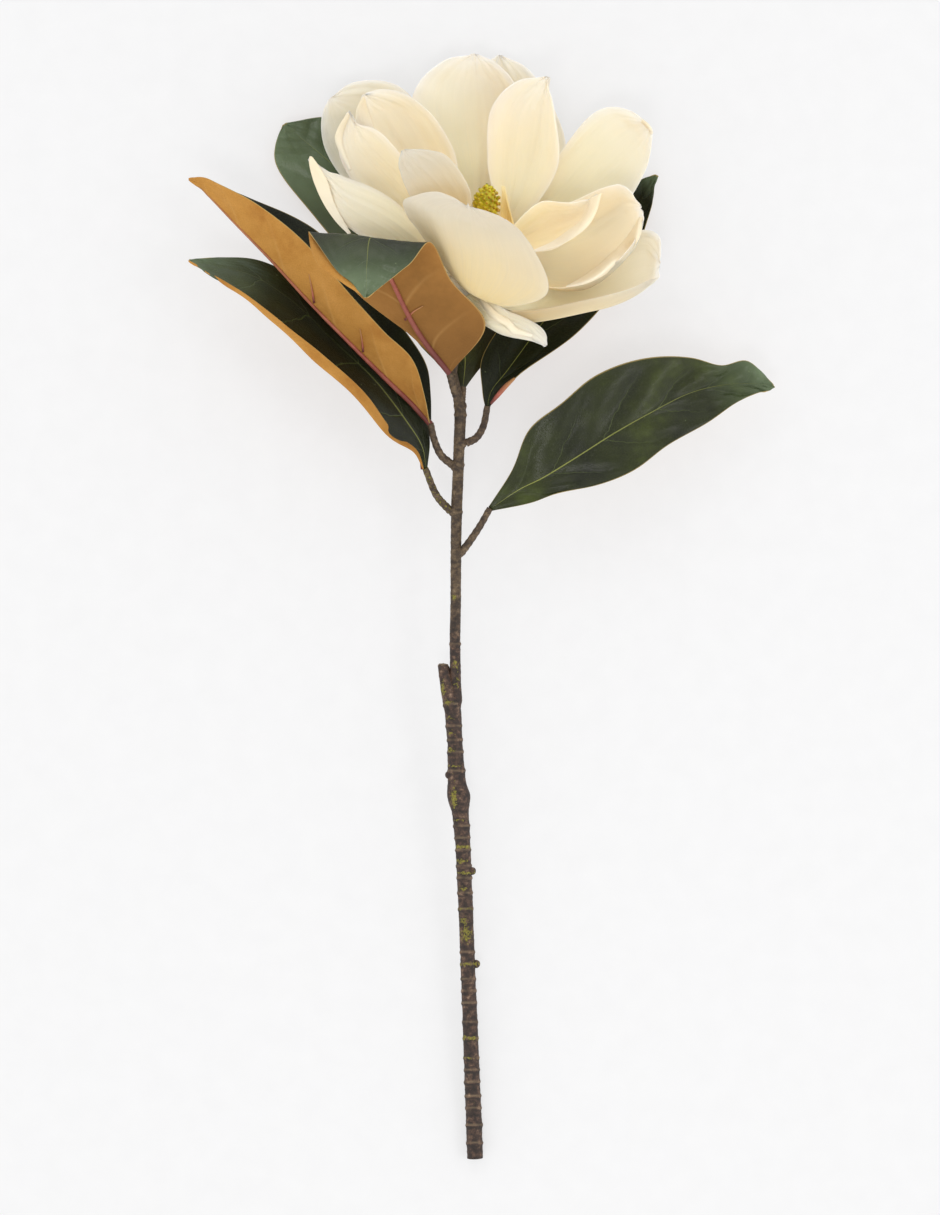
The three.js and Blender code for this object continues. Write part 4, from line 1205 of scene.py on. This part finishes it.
# %% [markdown]
# ## Heart of the bloom
# Curled pistils stand on a core, with a brush of stamens below. Each pistil is a small tube, turned on
# from the last by the golden angle, which is how the plant packs them. The stamens stand in a ring.

# %% Core, pistils and stamens
CORE_RADIUS = 7.4
CORE = [(-17.5, 0), (-17.5, 6.2), (-14, CORE_RADIUS), (3, CORE_RADIUS), (10, 6.4), (24, 7.2), (34, 6.6),
        (41, 4.2), (44, 0)]
CORE_SIDES = 32
RECEPTACLE_TOP = 4.5
PISTILS = 120
PISTILS_FROM, PISTILS_OVER = 15, 28
PISTIL_SIDES = 8
PISTIL_WIDTHS = [0.9, 0.95, 1.0, 1.05, 1.05, 0.95, 0.8, 0.45]
STAMENS = 52
STAMEN_FOOT, STAMEN_TALL = 5.2, 15
STAMEN_RING, STAMEN_LEAN = 8.6, 1.6
COLLAR = 8.9
STAMEN_WIDTHS = [0.85, 0.8, 0.72, 0.7, 0.72, 0.66, 0.3]
GOLDEN = 137.5


def hook_points(height, reach, degrees, length, curl):
    """A small hook that leaves the core, rises and bends over."""
    points = []
    for n in range(len(PISTIL_WIDTHS)):
        share = n / (len(PISTIL_WIDTHS) - 1)
        rise = height + length * (share - curl * share ** 3)
        out = reach + length * (0.55 * share + 0.25 * math.sin(share * 3))
        points.append(on_axis(rise, out, degrees + 10 * share))
    return points


def mark_reach(piece):
    """Paints 0 at the foot and 1 at the end of each hook."""
    mesh = piece.data
    reach = mesh.attributes.new("reach", "FLOAT", "POINT")
    loops = mesh.uv_layers.active.data
    for loop in mesh.loops:
        reach.data[loop.vertex_index].value = loops[loop.index].uv.y
    return piece


def make_heart():
    rings = [on_axis(height, 0, 0) for height, radius in CORE]
    widths = [max(radius, 0.05) for height, radius in CORE]
    core = tube_piece("pistils", rings, widths, CORE_SIDES, [FRONT] * len(CORE))
    core.data.attributes.new("reach", "FLOAT", "POINT")
    pieces = [core]
    for k in range(PISTILS):
        height = PISTILS_FROM + PISTILS_OVER * (k / PISTILS)
        base = 7.0 - 6.6 * max(0.0, (height - 33) / 10) ** 1.8
        points = hook_points(height, base - 1.6, GOLDEN * k, 3.9 + 1.1 * math.sin(k * 2.7), 0.8)
        pieces.append(mark_reach(tube_piece("hook_%d" % k, points, PISTIL_WIDTHS, PISTIL_SIDES)))
    heart = joined(pieces, "pistils")
    heart.data.materials.append(pistil_skin)
    heart.data.materials.append(receptacle_skin)
    for polygon in heart.data.polygons:
        if (polygon.center * 1000 - SHIFT - HEART).dot(AXIS) < RECEPTACLE_TOP:
            polygon.material_index = 1
    heart.data.shade_smooth()
    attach(heart, "root")
    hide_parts("pistils")


def make_stamens():
    pieces = []
    for k in range(STAMENS):
        turn = 360 * k / STAMENS
        rise = STAMEN_TALL + 3.5 * math.sin(k * 2.3) - STAMEN_FOOT
        row = 0.35 * (k % 3)
        points = [on_axis(STAMEN_FOOT + rise * n / 6, STAMEN_RING + STAMEN_LEAN * (n / 6) + row,
                          turn + 2 * n / 6) for n in range(7)]
        pieces.append(mark_reach(tube_piece("strap_%d" % k, points, STAMEN_WIDTHS, PISTIL_SIDES)))
    rings = [on_axis(4.7 + 0.75 * n, 0, 0) for n in range(6)]
    collar = tube_piece("collar", rings, [COLLAR] * len(rings), CORE_SIDES, [FRONT] * len(rings))
    collar.data.attributes.new("reach", "FLOAT", "POINT")
    stamens = joined(pieces + [collar], "stamens")
    stamens.data.materials.append(stamen_skin)
    stamens.data.shade_smooth()
    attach(stamens, "root")
    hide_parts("stamens")


make_heart()
make_stamens()
